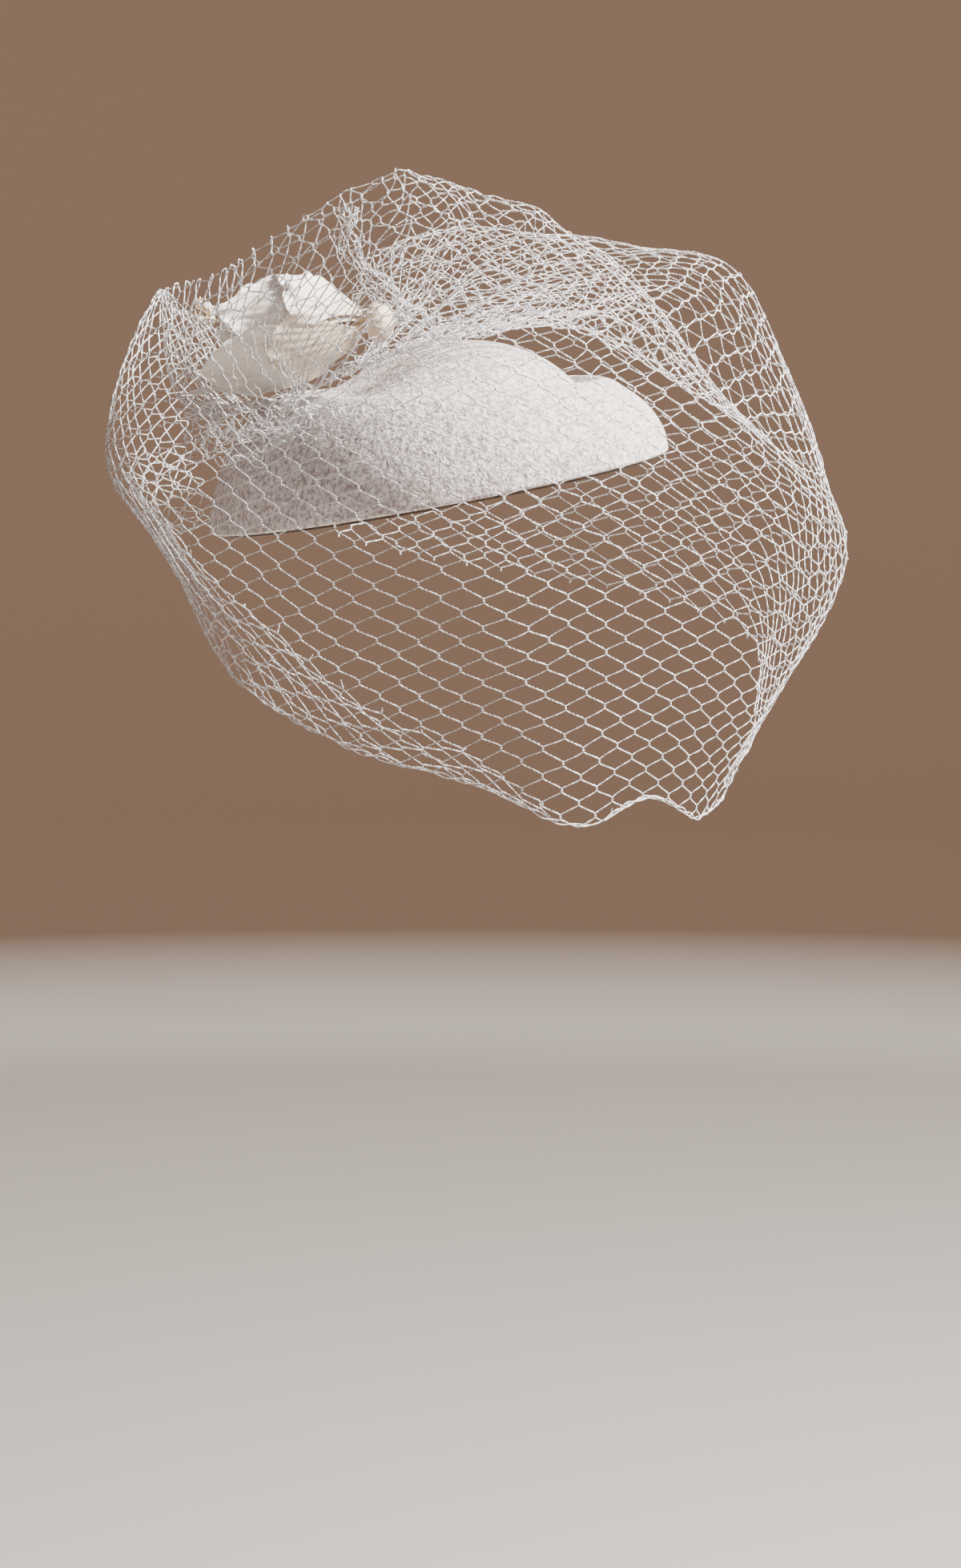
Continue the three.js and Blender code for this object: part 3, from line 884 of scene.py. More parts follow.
@dataclass(frozen=True)
class FeltRest:
    """Keeps thread that lies on the felt from sinking into it."""

    surface: BVHTree
    gap: float = 0.0009
    reach: float = 0.012
    facing: float = 0.8

    def lift(self, points: np.ndarray) -> np.ndarray:
        """Return points with those under the felt's outside raised onto it.

        Args:
            points: Points with their coordinates on the last axis.

        Returns:
            The points. Those past the rim, which have no felt straight above them, stay.
        """
        lifted = points.reshape(-1, 3).copy()
        for number, place in enumerate(lifted):
            point = Vector(place)
            spot, normal, _, distance = self.surface.find_nearest(point, self.reach)
            if spot is None:
                continue
            height = (point - spot).dot(normal)
            if height < self.gap and (distance < self.gap or abs(height) > self.facing * distance):
                lifted[number] = spot + normal * self.gap
        return lifted.reshape(points.shape)


# --- The veil -------------------------------------------------------------------------------


@dataclass
class VeilShape:
    """The surface that the net lies on, from the gather round the flower down to the hem."""

    # Each section: azimuth, then a distance from the Z axis and a height for the rise from
    # the gather, the crest, the fullest bulge and the hem, the depth of turned-up hem, and
    # the depth of net below the fold, part of which is drawn up into folds.
    sections: tuple[tuple[float, ...], ...] = (
        (160, 0.076, -0.019, 0.086, 0.002, 0.102, -0.038, 0.092, -0.062, 0.028, 0.034),
        (140, 0.088, -0.018, 0.095, 0.018, 0.113, -0.036, 0.097, -0.067, 0.034, 0.042),
        (120, 0.088, -0.012, 0.095, 0.020, 0.113, -0.038, 0.093, -0.070, 0.034, 0.050),
        (100, 0.079, 0.006, 0.084, 0.027, 0.110, -0.046, 0.095, -0.096, 0.032, 0.046),
        (80, 0.056, 0.026, 0.070, 0.046, 0.108, -0.052, 0.098, -0.112, 0.026, 0.036),
        (60, 0.044, 0.036, 0.062, 0.057, 0.106, -0.058, 0.100, -0.125, 0.016, 0.025),
        (40, 0.040, 0.036, 0.063, 0.051, 0.106, -0.062, 0.100, -0.135, 0.008, 0.015),
        (21, 0.044, 0.032, 0.072, 0.043, 0.108, -0.066, 0.103, -0.149, 0.0, 0.001),
        (5, 0.044, 0.024, 0.074, 0.033, 0.112, -0.068, 0.100, -0.142, 0.0, 0.008),
        (-11, 0.044, 0.015, 0.076, 0.018, 0.120, -0.066, 0.098, -0.152, 0.0, 0.0),
        (-27, 0.040, 0.010, 0.072, 0.000, 0.130, -0.064, 0.096, -0.150, 0.0, 0.0),
        (-43, 0.034, 0.007, 0.064, -0.004, 0.134, -0.062, 0.096, -0.144, 0.0, 0.003),
        (-59, 0.040, 0.010, 0.084, 0.012, 0.134, -0.048, 0.108, -0.132, 0.0, 0.002),
        (-75, 0.050, 0.016, 0.114, 0.024, 0.133, -0.020, 0.124, -0.106, 0.0, 0.0),
        (-95, 0.050, 0.020, 0.104, 0.033, 0.126, -0.022, 0.120, -0.094, 0.0, 0.0),
        (-120, 0.048, 0.022, 0.086, 0.038, 0.116, -0.026, 0.110, -0.086, 0.0, 0.0),
        (-145, 0.046, 0.018, 0.076, 0.036, 0.106, -0.030, 0.102, -0.078, 0.0, 0.0),
        (-160, 0.048, 0.008, 0.072, 0.028, 0.098, -0.034, 0.094, -0.070, 0.0, 0.0),
    )
    gather_leanward: float = 0.034
    gather_facing: float = 0.020
    gather_height: float = -0.009
    gather_long: float = 0.027
    gather_short: float = 0.018
    gather_tilt: float = 22.0
    gather_turns: tuple[float, float] = (180.0, -90.0)
    rounds: int = 480
    falls: int = 240
    points: np.ndarray = field(init=False)
    normals: np.ndarray = field(init=False)
    lengths: np.ndarray = field(init=False)
    turn_ups: np.ndarray = field(init=False)
    selvages: np.ndarray = field(init=False)
    bulge_length: float = field(init=False)

    def gather_point(self, azimuth: np.ndarray) -> np.ndarray:
        """Work out where the net at some azimuths is gathered.

        Args:
            azimuth: Azimuths in degrees.

        Returns:
            One point for each.
        """
        first, last = self.sections[0][0], self.sections[-1][0]
        share = (azimuth - first) / (last - first)
        start, end = self.gather_turns
        turn = np.radians(start + share * (end - start))
        long, short = self.gather_long * np.cos(turn), self.gather_short * np.sin(turn)
        tilt = math.radians(self.gather_tilt)
        place = (self.gather_leanward - long * math.cos(tilt))[:, None] * outward(LEAN_AZIMUTH)
        place = place + (self.gather_facing + short)[:, None] * outward(FACING_AZIMUTH)
        place[:, 2] = self.gather_height + long * math.sin(tilt)
        return place

    def __post_init__(self) -> None:
        """Work out the table of points, their normals and each section's length."""
        table = np.array(self.sections, float)
        azimuths = table[:, 0]
        level = outward(azimuths)
        rails = [self.gather_point(azimuths)]
        for column in (1, 3, 5, 7):
            rail = level * table[:, column, None]
            rail[:, 2] = table[:, column + 1]
            rails.append(rail)
        dense = np.linspace(0, 1, 2001)
        bulge = catmull_rom(rails[3][None], dense)[0]
        travelled = np.concatenate([[0], np.cumsum(np.linalg.norm(np.diff(bulge, axis=0), axis=1))])
        self.bulge_length = float(travelled[-1])
        shares = np.linspace(0, 1, self.rounds + 1)
        places = np.interp(shares, travelled / travelled[-1], dense)
        controls = np.stack([catmull_rom(rail[None], places)[0] for rail in rails], axis=1)
        fine = catmull_rom(controls, np.linspace(0, 1, 4 * self.falls + 1), centripetal=True)
        steps = np.linalg.norm(np.diff(fine, axis=1), axis=2)
        reached = np.concatenate([np.zeros((len(fine), 1)), np.cumsum(steps, axis=1)], axis=1)
        self.lengths = reached[:, -1]
        falls = np.linspace(0, 1, self.falls + 1)
        self.points = np.empty((self.rounds + 1, self.falls + 1, 3))
        for i, (row, length) in enumerate(zip(fine, reached)):
            for axis in range(3):
                self.points[i, :, axis] = np.interp(falls * length[-1], length, row[:, axis])
        controls = np.stack([table[:, 9], table[:, 10], 0 * azimuths], 1)[None]
        depths = np.maximum(catmull_rom(controls, places)[0], 0.0)
        self.turn_ups, self.selvages = depths[:, 0], depths[:, 1]
        down, sideways = np.gradient(self.points, axis=1), np.gradient(self.points, axis=0)
        normals = unit(np.cross(sideways, down))
        outwards = np.sum(normals * self.points * (1, 1, 0.2), axis=-1).mean() > 0
        self.normals = normals if outwards else -normals

    def share_of(self, azimuth: float) -> float:
        """Work out where on the way round the bulge has an azimuth.

        Args:
            azimuth: The azimuth in degrees.

        Returns:
            The share of the way round.
        """
        bulge = self.points[:, self.falls * 2 // 3]
        turns = np.unwrap(np.arctan2(-bulge[:, 0], -bulge[:, 1]))
        return float(np.interp(-math.radians(azimuth), -turns, np.linspace(0, 1, self.rounds + 1)))

    def sample(self, table: np.ndarray, share: np.ndarray, fall: np.ndarray) -> np.ndarray:
        """Return a table's values between its points.

        Args:
            table: Values for every round and fall.
            share: Shares of the way round.
            fall: Shares of the way down.

        Returns:
            One value or vector for each pair of shares.
        """
        x = np.clip(share, 0, 1) * self.rounds
        y = np.clip(fall, 0, 1) * self.falls
        i = np.minimum(x.astype(int), self.rounds - 1)
        j = np.minimum(y.astype(int), self.falls - 1)
        u, v = (x - i)[..., None], (y - j)[..., None]
        near = table[i, j] * (1 - v) + table[i, j + 1] * v
        far = table[i + 1, j] * (1 - v) + table[i + 1, j + 1] * v
        return near * (1 - u) + far * u

    def along(self, table: np.ndarray, share: np.ndarray) -> np.ndarray:
        """Return the values of a table with one entry for each round."""
        return np.interp(share, np.linspace(0, 1, self.rounds + 1), table)


@dataclass
class NetThread:
    """The thread of the veiling and the size of its diamonds."""

    thickness: float = 0.00050
    flatness: float = 0.75
    twist: float = 0.0075
    sides: int = 5
    knot_length: float = 0.0013
    knot_width: float = 0.00078
    diamond_height: float = 0.0088
    samples: int = 6


class ThreadTrees:
    """The node trees that turn lines into thread and points into knots."""

    @staticmethod
    def twisted_tube(maker: TreeMaker, line: Any, radius: Any, flatness: Any, twist: Any, sides: Any) -> Any:
        """Add the nodes that sweep a flattened, twisted section along a line.

        Args:
            maker: The tree's maker.
            line: The socket with the line.
            radius: Half the thickness.
            flatness: The section's height as a share of its width.
            twist: The length of one full twist.
            sides: Number of sides of the section.

        Returns:
            The socket with the tube.
        """
        length = maker.add("GeometryNodeSplineParameter").outputs["Length"]
        marked = maker.add(
            "GeometryNodeStoreNamedAttribute",
            {"Geometry": line, "Name": "along", "Value": length},
            data_type="FLOAT", domain="POINT",
        ).outputs[0]
        turn = maker.math("MULTIPLY", maker.math("DIVIDE", length, twist), TWO_PI)
        tilted = maker.add("GeometryNodeSetCurveTilt", {"Curve": marked, "Tilt": turn}).outputs[0]
        ring = maker.add("GeometryNodeCurvePrimitiveCircle", {"Resolution": sides, "Radius": 1.0}).outputs[0]
        scale = maker.add("ShaderNodeCombineXYZ", {0: 1.0, 1: flatness, 2: 1.0}).outputs[0]
        flat = maker.add("GeometryNodeTransform", {"Geometry": ring, "Scale": scale}).outputs[0]
        factor = maker.add("GeometryNodeSplineParameter").outputs["Factor"]
        angle = maker.math("MULTIPLY", factor, 2 * TWO_PI)
        for name, operation in (("ply_sine", "SINE"), ("ply_cosine", "COSINE")):
            flat = maker.add(
                "GeometryNodeStoreNamedAttribute",
                {"Geometry": flat, "Name": name, "Value": maker.math(operation, angle)},
                data_type="FLOAT", domain="POINT",
            ).outputs[0]
        links = {"Curve": tilted, "Profile Curve": flat, "Scale": radius, "Fill Caps": True}
        return maker.add("GeometryNodeCurveToMesh", links).outputs[0]

    @staticmethod
    def finish(maker: TreeMaker, geometry: Any, material: Any) -> None:
        """Add the nodes that every tree ends in.

        Args:
            maker: The tree's maker.
            geometry: The socket with what was made.
            material: The socket with the thread's material.
        """
        real = maker.add("GeometryNodeRealizeInstances", {"Geometry": geometry}).outputs[0]
        even = maker.add("GeometryNodeSetShadeSmooth", {"Geometry": real}).outputs[0]
        dressed = maker.add("GeometryNodeSetMaterial", {"Geometry": even, "Material": material}).outputs[0]
        maker.tree.links.new(dressed, maker.add("NodeGroupOutput").inputs[0])

    @staticmethod
    def stored(maker: TreeMaker, name: str, kind: str) -> Any:
        """Add a node that reads a value stored on the mesh and return its socket."""
        return maker.add("GeometryNodeInputNamedAttribute", {"Name": name}, data_type=kind).outputs[0]

    @classmethod
    def strands(cls) -> bpy.types.NodeTree:
        """Build the tree that gives lines the thickness of thread.

        Returns:
            The tree.
        """
        tree = bpy.data.node_groups.new("thread_strands", "GeometryNodeTree")
        maker = TreeMaker(tree)
        maker.group_input("Lines", "NodeSocketGeometry")
        maker.group_input("Thread Radius", "NodeSocketFloat", 0.00026)
        maker.group_input("Flatness", "NodeSocketFloat", 0.8)
        maker.group_input("Twist Length", "NodeSocketFloat", 0.0075)
        maker.group_input("Sides", "NodeSocketInt", 5)
        maker.group_input("Thread", "NodeSocketMaterial")
        maker.group_output("Geometry", "NodeSocketGeometry")
        given = maker.add("NodeGroupInput").outputs
        curve = maker.add("GeometryNodeMeshToCurve", {"Mesh": given["Lines"]}).outputs[0]
        radius = maker.math("MULTIPLY", given["Thread Radius"], cls.stored(maker, "weight", "FLOAT"))
        shape = (given[name] for name in ("Flatness", "Twist Length", "Sides"))
        cls.finish(maker, cls.twisted_tube(maker, curve, radius, *shape), given["Thread"])
        return tree

    @classmethod
    def knots(cls) -> bpy.types.NodeTree:
        """Build the tree that sets a short twisted link at every crossing.

        Returns:
            The tree.
        """
        tree = bpy.data.node_groups.new("thread_knots", "GeometryNodeTree")
        maker = TreeMaker(tree)
        maker.group_input("Crossings", "NodeSocketGeometry")
        maker.group_input("Knot Length", "NodeSocketFloat", 0.0015)
        maker.group_input("Knot Radius", "NodeSocketFloat", 0.0005)
        maker.group_input("Size Variation", "NodeSocketFloat", 0.18)
        maker.group_input("Seed", "NodeSocketInt", 4)
        maker.group_input("Thread", "NodeSocketMaterial")
        maker.group_output("Geometry", "NodeSocketGeometry")
        given = maker.add("NodeGroupInput").outputs
        half = maker.math("MULTIPLY", given["Knot Length"], 0.5)
        start = maker.add("ShaderNodeCombineXYZ", {2: maker.math("MULTIPLY", half, -1.0)}).outputs[0]
        end = maker.add("ShaderNodeCombineXYZ", {2: half}).outputs[0]
        line = maker.add("GeometryNodeCurvePrimitiveLine", {"Start": start, "End": end}).outputs[0]
        line = maker.add("GeometryNodeResampleCurve", {"Curve": line, "Count": 5}).outputs[0]
        factor = maker.add("GeometryNodeSplineParameter").outputs["Factor"]
        reach = maker.math("MULTIPLY_ADD", factor, 0.8, 0.1)
        swell = maker.math("SINE", maker.math("MULTIPLY", reach, math.pi))
        radius = maker.math("MULTIPLY", given["Knot Radius"], maker.math("POWER", swell, 0.6))
        link = cls.twisted_tube(maker, line, radius, 0.62, 0.0028, 6)
        down, out = (cls.stored(maker, name, "FLOAT_VECTOR") for name in ("down", "out"))
        turn = maker.add(
            "FunctionNodeAxesToRotation",
            {"Primary Axis": down, "Secondary Axis": out},
            primary_axis="Z", secondary_axis="X",
        ).outputs[0]
        low = maker.math("SUBTRACT", 1.0, given["Size Variation"])
        high = maker.math("ADD", 1.0, given["Size Variation"])
        chance = {2: low, 3: high, "Seed": given["Seed"]}
        size = maker.add("FunctionNodeRandomValue", chance, data_type="FLOAT")
        placed = maker.add(
            "GeometryNodeInstanceOnPoints",
            {
                "Points": given["Crossings"], "Instance": link,
                "Rotation": turn, "Scale": size.outputs[1],
            },
        ).outputs[0]
        cls.finish(maker, placed, given["Thread"])
        return tree


def grow(piece: bpy.types.Object, tree: bpy.types.NodeTree, values: dict[str, Any]) -> bpy.types.Object:
    """Run a node tree on a piece and keep the result as a plain mesh.

    Args:
        piece: The object whose mesh feeds the tree.
        tree: The node tree.
        values: The tree's named inputs.

    Returns:
        The same object with the new mesh and no modifier.
    """
    modifier = piece.modifiers.new(tree.name, "NODES")
    modifier.node_group = tree
    items = tree.interface.items_tree
    sockets = {item.name: item.identifier for item in items if item.in_out == "INPUT"}
    for name, value in values.items():
        modifier[sockets[name]] = value
    bpy.context.view_layer.update()
    evaluated = piece.evaluated_get(bpy.context.evaluated_depsgraph_get())
    made = bpy.data.meshes.new_from_object(evaluated)
    made.name = piece.name
    piece.modifiers.remove(modifier)
    old = piece.data
    piece.data = made
    bpy.data.meshes.remove(old)
    return piece


@dataclass
class StrandSet:
    """Lines and crossings, collected before they become thread."""

    lines: list[np.ndarray] = field(default_factory=list)
    weights: list[np.ndarray] = field(default_factory=list)
    knots: list[np.ndarray] = field(default_factory=list)
    downs: list[np.ndarray] = field(default_factory=list)
    outs: list[np.ndarray] = field(default_factory=list)

    def add_lines(self, lines: np.ndarray, weights: np.ndarray) -> None:
        """Add strands, shaped (count, samples, 3), with one weight each."""
        self.lines.append(lines)
        self.weights.append(weights)

    def add_knots(self, points: np.ndarray, downs: np.ndarray, outs: np.ndarray) -> None:
        """Add crossings.

        Args:
            points: Where they are, shaped (count, 3).
            downs: The way that each link points.
            outs: The way that each link faces.
        """
        self.knots.append(points)
        self.downs.append(downs)
        self.outs.append(outs)

    def strand_object(self, name: str) -> bpy.types.Object:
        """Make an object with the strands as loose edges.

        Args:
            name: Name of the piece.

        Returns:
            The object.
        """
        points, edges, weights, start = [], [], [], 0
        for lines, line_weights in zip(self.lines, self.weights):
            count, samples = lines.shape[:2]
            numbers = start + np.arange(count * samples).reshape(count, samples)
            edges.append(np.stack([numbers[:, :-1], numbers[:, 1:]], -1).reshape(-1, 2))
            points.append(lines.reshape(-1, 3))
            weights.append(np.repeat(line_weights, samples))
            start += count * samples
        piece = new_mesh_object(name, np.concatenate(points), [], np.concatenate(edges))
        add_point_data(piece, "weight", np.concatenate(weights))
        return piece

    def knot_object(self, name: str) -> bpy.types.Object:
        """Make an object with one loose point for each crossing.

        Args:
            name: Name of the piece.

        Returns:
            The object.
        """
        piece = new_mesh_object(name, np.concatenate(self.knots), [])
        add_point_data(piece, "down", np.concatenate(self.downs))
        add_point_data(piece, "out", np.concatenate(self.outs))
        return piece


Placement = Callable[[np.ndarray, np.ndarray], tuple[np.ndarray, np.ndarray]]


@dataclass
class Lattice:
    """Diamond netting laid on any surface, counted in half rows up from its selvage."""

    thread: NetThread
    columns: int
    half_rows: int
    pitch: float
    rng: np.random.Generator
    heavy: float = 1.22
    light: float = 0.86
    uneven: tuple[float, float] = (0.9, 1.1)
    bow: float = 0.0002

    def lay(self, place: Placement, keep: Callable[[float, float], bool] | None = None) -> StrandSet:
        """Return the strands and crossings of a strip of net.

        Args:
            place: Gives points and normals for shares across the strip and distances up it.
            keep: Tells whether a crossing belongs to the strip; all do when it is left out.

        Returns:
            The strands and crossings.
        """
        half_knot = self.thread.knot_length / 2
        starts, ends, weights, crossings = [], [], [], []
        for row in range(self.half_rows + 1):
            for number in range(self.columns + 1):
                x = number + (row % 2) / 2
                share, climb = x / self.columns, row * self.pitch
                if x > self.columns or (keep and not keep(share, climb)):
                    continue
                crossings.append((share, climb))
                for side in (-0.5, 0.5):
                    other = (x + side) / self.columns
                    if row == 0 or not 0 <= other <= 1:
                        continue
                    if keep and not keep(other, climb - self.pitch):
                        continue
                    starts.append((share, climb))
                    ends.append((other, climb - self.pitch))
                    weights.append(self.heavy if side > 0 else self.light)
        start, end, crossing = np.array(starts), np.array(ends), np.array(crossings)
        part = np.linspace(0, 1, self.thread.samples)
        swing = 0.72 * part + 0.28 * part * part * (3 - 2 * part)
        share = start[:, :1] + (end[:, :1] - start[:, :1]) * swing
        upper, lower = start[:, 1:] - half_knot, end[:, 1:] + half_knot
        lines, normals = place(share, upper + (lower - upper) * part)
        bow = self.rng.normal(0, self.bow, (len(lines), 1)) * np.sin(math.pi * part)
        made = StrandSet()
        weight = np.array(weights) * self.rng.uniform(*self.uneven, len(lines))
        made.add_lines(lines + normals * bow[..., None], weight)
        points, outs = place(crossing[:, 0], crossing[:, 1])
        below, _ = place(crossing[:, 0], crossing[:, 1] - half_knot)
        above, _ = place(crossing[:, 0], crossing[:, 1] + half_knot)
        made.add_knots(points, unit(below - above), outs)
        return made


class NetWeaver:
    """Turns laid-out strands and crossings into dressed pieces of thread."""

    def __init__(self, thread: NetThread, material: bpy.types.Material) -> None:
        """Build the two node trees, once.

        Args:
            thread: The sizes of the thread.
            material: Its material.
        """
        self.thread = thread
        self.material = material
        self.strand_tree = ThreadTrees.strands()
        self.knot_tree = ThreadTrees.knots()

    def strands(self, name: str, lines: StrandSet, node: str) -> bpy.types.Object:
        """Make one piece with the strands of a set.

        Args:
            name: Name of the piece.
            lines: The strands.
            node: The CAD node that the piece stands for.

        Returns:
            The piece.
        """
        piece = grow(lines.strand_object(name), self.strand_tree, {
            "Thread Radius": self.thread.thickness / 2, "Flatness": self.thread.flatness,
            "Twist Length": self.thread.twist, "Sides": self.thread.sides, "Thread": self.material,
        })
        return dress(piece, self.material, Slot.NET, node)

    def knots(self, name: str, crossings: StrandSet, node: str) -> bpy.types.Object:
        """Make one piece with the crossings of a set.

        Args:
            name: Name of the piece.
            crossings: The crossings.
            node: The CAD node that the piece stands for.

        Returns:
            The piece.
        """
        piece = grow(crossings.knot_object(name), self.knot_tree, {
            "Knot Length": self.thread.knot_length, "Knot Radius": self.thread.knot_width / 2,
            "Thread": self.material,
        })
        return dress(piece, self.material, Slot.NET, node)


@dataclass
class Veil:
    """The strip of diamond veiling, gathered at the flower and hanging round the head."""

    shape: VeilShape
    thread: NetThread
    rest: FeltRest
    columns: int = 50
    parts: int = 3
    pleats: int = 17
    seed: int = 11
    knot_parts: int = 2
    wander: float = 0.0016
    drift_waves: tuple[Wave, ...] = ((1.0, 9.3, 70.0, 0.0), (0.7, 16.1, -105.0, 2.0))
    slide_waves: tuple[Wave, ...] = ((1.0, 11.9, -60.0, 1.0), (0.7, 21.3, 95.0, 0.0))
    pleat_waves: tuple[Wave, ...] = ((1.6, 3.1, 0.0, 0.5), (1.0, 7.3, 0.0, 0.0))
    pleat_depth: float = 0.0022
    bunching: float = 0.8
    billow: Wave = (0.0010, 5.3, 5.0, 0.0)
    ripple: Wave = (0.0006, 11.7, -9.0, 1.0)
    # How far the turned-up hem lies inside the net, and over what depth it gets there.
    fold_gap: tuple[float, float] = (0.0010, 0.002)
    turn_up_gap: tuple[float, float] = (0.0028, 0.012)
    hem_end_azimuth: float = -30.0
    hem_samples: int = 700
    hem_twist: float = 0.011
    hem_radius: float = 0.00028
    hem_drop: float = 0.0004
    hem_sway: float = 0.0005
    hem_sway_length: float = 0.017
    hem_weight: float = 0.95
    stub_length: float = 0.0026
    stub_bend: float = 0.0005
    stub_weight: float = 0.8
    stub_gaps: float = 0.45

    def place(self, share: np.ndarray, climb: np.ndarray) -> tuple[np.ndarray, np.ndarray]:
        """Return points of the net.

        Args:
            share: Shares of the way round.
            climb: Distances up the net from its selvage, which the turned-up hem holds inside.

        Returns:
            The points and the outward normals there.
        """
        shape = self.shape
        length = shape.along(shape.lengths, share)
        depth = shape.along(shape.turn_ups, share)
        selvage = shape.along(shape.selvages, share)
        above = climb - selvage
        turned = np.maximum(-above, 0.0) * depth / np.maximum(selvage, 1e-4)
        loose = 0.25 + 0.75 * smooth(0.75, 0.3, 1 - np.maximum(above, 0.0) / length)
        drift = waves(share, climb, self.drift_waves)
        slide = waves(share, climb, self.slide_waves)
        above = above + self.wander * loose * slide * smooth(0.0, 0.02, above)
        share = np.clip(share + self.wander / shape.bulge_length * loose * drift, 0, 1)
        fall = 1 - np.where(above > 0, above, turned) / length
        near = smooth(0.45, 0.0, fall)
        phase = waves(share, 0.0, self.pleat_waves, TWO_PI * self.pleats * share)
        bunched = share - self.bunching * near * np.sin(phase) / (TWO_PI * self.pleats)
        points = shape.sample(shape.points, bunched, fall)
        normals = unit(shape.sample(shape.normals, bunched, fall))
        lift = self.pleat_depth * near * smooth(0.0, 0.1, fall) * np.cos(phase)
        lift = lift + waves(share, fall, (self.billow,)) * smooth(0.1, 0.5, fall)
        lift = waves(share, fall, (self.ripple,), lift)
        inset = sum(gap * smooth(0.0, depth, turned) for gap, depth in (self.fold_gap, self.turn_up_gap))
        return self.rest.lift(points + normals * (lift - inset)[..., None]), normals

    def belongs(self, share: float, climb: float) -> bool:
        """Tell whether a crossing is between the selvage and the gather.

        Args:
            share: Its share of the way round.
            climb: Its distance up from the selvage.

        Returns:
            Whether the net reaches that far.
        """
        shape = self.shape
        reach = shape.along(shape.lengths, share) + shape.along(shape.selvages, share)
        return bool(climb <= reach + self.thread.diamond_height / 2)

    def hem_lines(self, rng: np.random.Generator) -> StrandSet:
        """Lay out the doubled thread along the fold of the hem and the cut ends at the selvage.

        Args:
            rng: The veil's source of chance.

        Returns:
            The strands.
        """
        shape = self.shape
        last = shape.share_of(self.hem_end_azimuth)
        share = np.linspace(0.0, last, self.hem_samples)
        base, normals = self.place(share, shape.along(shape.selvages, share))
        ahead = unit(np.gradient(base, axis=0))
        beside = np.cross(normals, ahead)
        travelled = np.concatenate([[0], np.cumsum(np.linalg.norm(np.diff(base, axis=0), axis=1))])
        made = StrandSet()
        for ply in range(2):
            turn = TWO_PI * travelled / self.hem_twist + math.pi * ply
            sway = self.hem_sway * np.sin(TWO_PI * travelled / self.hem_sway_length + 2 * ply)
            swing = np.cos(turn)[:, None] * normals + np.sin(turn)[:, None] * beside
            line = base + self.hem_radius * swing + beside * (sway + self.hem_drop)[:, None]
            made.add_lines(line[None], np.array([self.hem_weight]))
        stubs = []
        for number in range(int(self.columns * last) + 1):
            if rng.random() < self.stub_gaps:
                continue
            start, out = self.place(np.array([number / self.columns]), np.array([0.0]))
            way = unit(rng.normal(0, 1, 3) * 0.7 + np.array([0, 0, 0.8]) - out[0] * 0.2)
            bend = rng.normal(0, self.stub_bend, 3)
            part = np.linspace(0, 1, self.thread.samples)[:, None]
            length = self.stub_length * rng.uniform(0.5, 1.2)
            stubs.append(start[0] + way * length * part + bend * part**2)
        made.add_lines(np.array(stubs), np.full(len(stubs), self.stub_weight))
        return made

    def build(self, weaver: NetWeaver) -> None:
        """Make the pieces of the veil, some rows of the net in each.

        Args:
            weaver: What turns lines into thread.
        """
        shape = self.shape
        rng = np.random.default_rng(self.seed)
        pitch = self.thread.diamond_height / 2
        longest = float((shape.lengths + shape.selvages).max())
        lattice = Lattice(self.thread, self.columns, int(longest / pitch) + 1, pitch, rng)
        net = lattice.lay(self.place, self.belongs)
        LOG.info("veil strip: %.0f mm round its bulge", shape.bulge_length * 1000)
        lines, weights = net.lines[0], net.weights[0]
        for part in range(self.parts):
            first, last = (k * len(lines) // self.parts for k in (part, part + 1))
            chosen = slice(first, last)
            bunch = StrandSet([lines[chosen]], [weights[chosen]])
            weaver.strands(f"veil_threads_{part + 1}", bunch, "veil")
        points, downs, outs = net.knots[0], net.downs[0], net.outs[0]
        for part in range(self.knot_parts):
            first, last = (k * len(points) // self.knot_parts for k in (part, part + 1))
            chosen = slice(first, last)
            bunch = StrandSet(knots=[points[chosen]], downs=[downs[chosen]], outs=[outs[chosen]])
            weaver.knots(f"veil_knots_{part + 1}", bunch, "veil")
        weaver.strands("veil_hem_thread", self.hem_lines(rng), "veil")


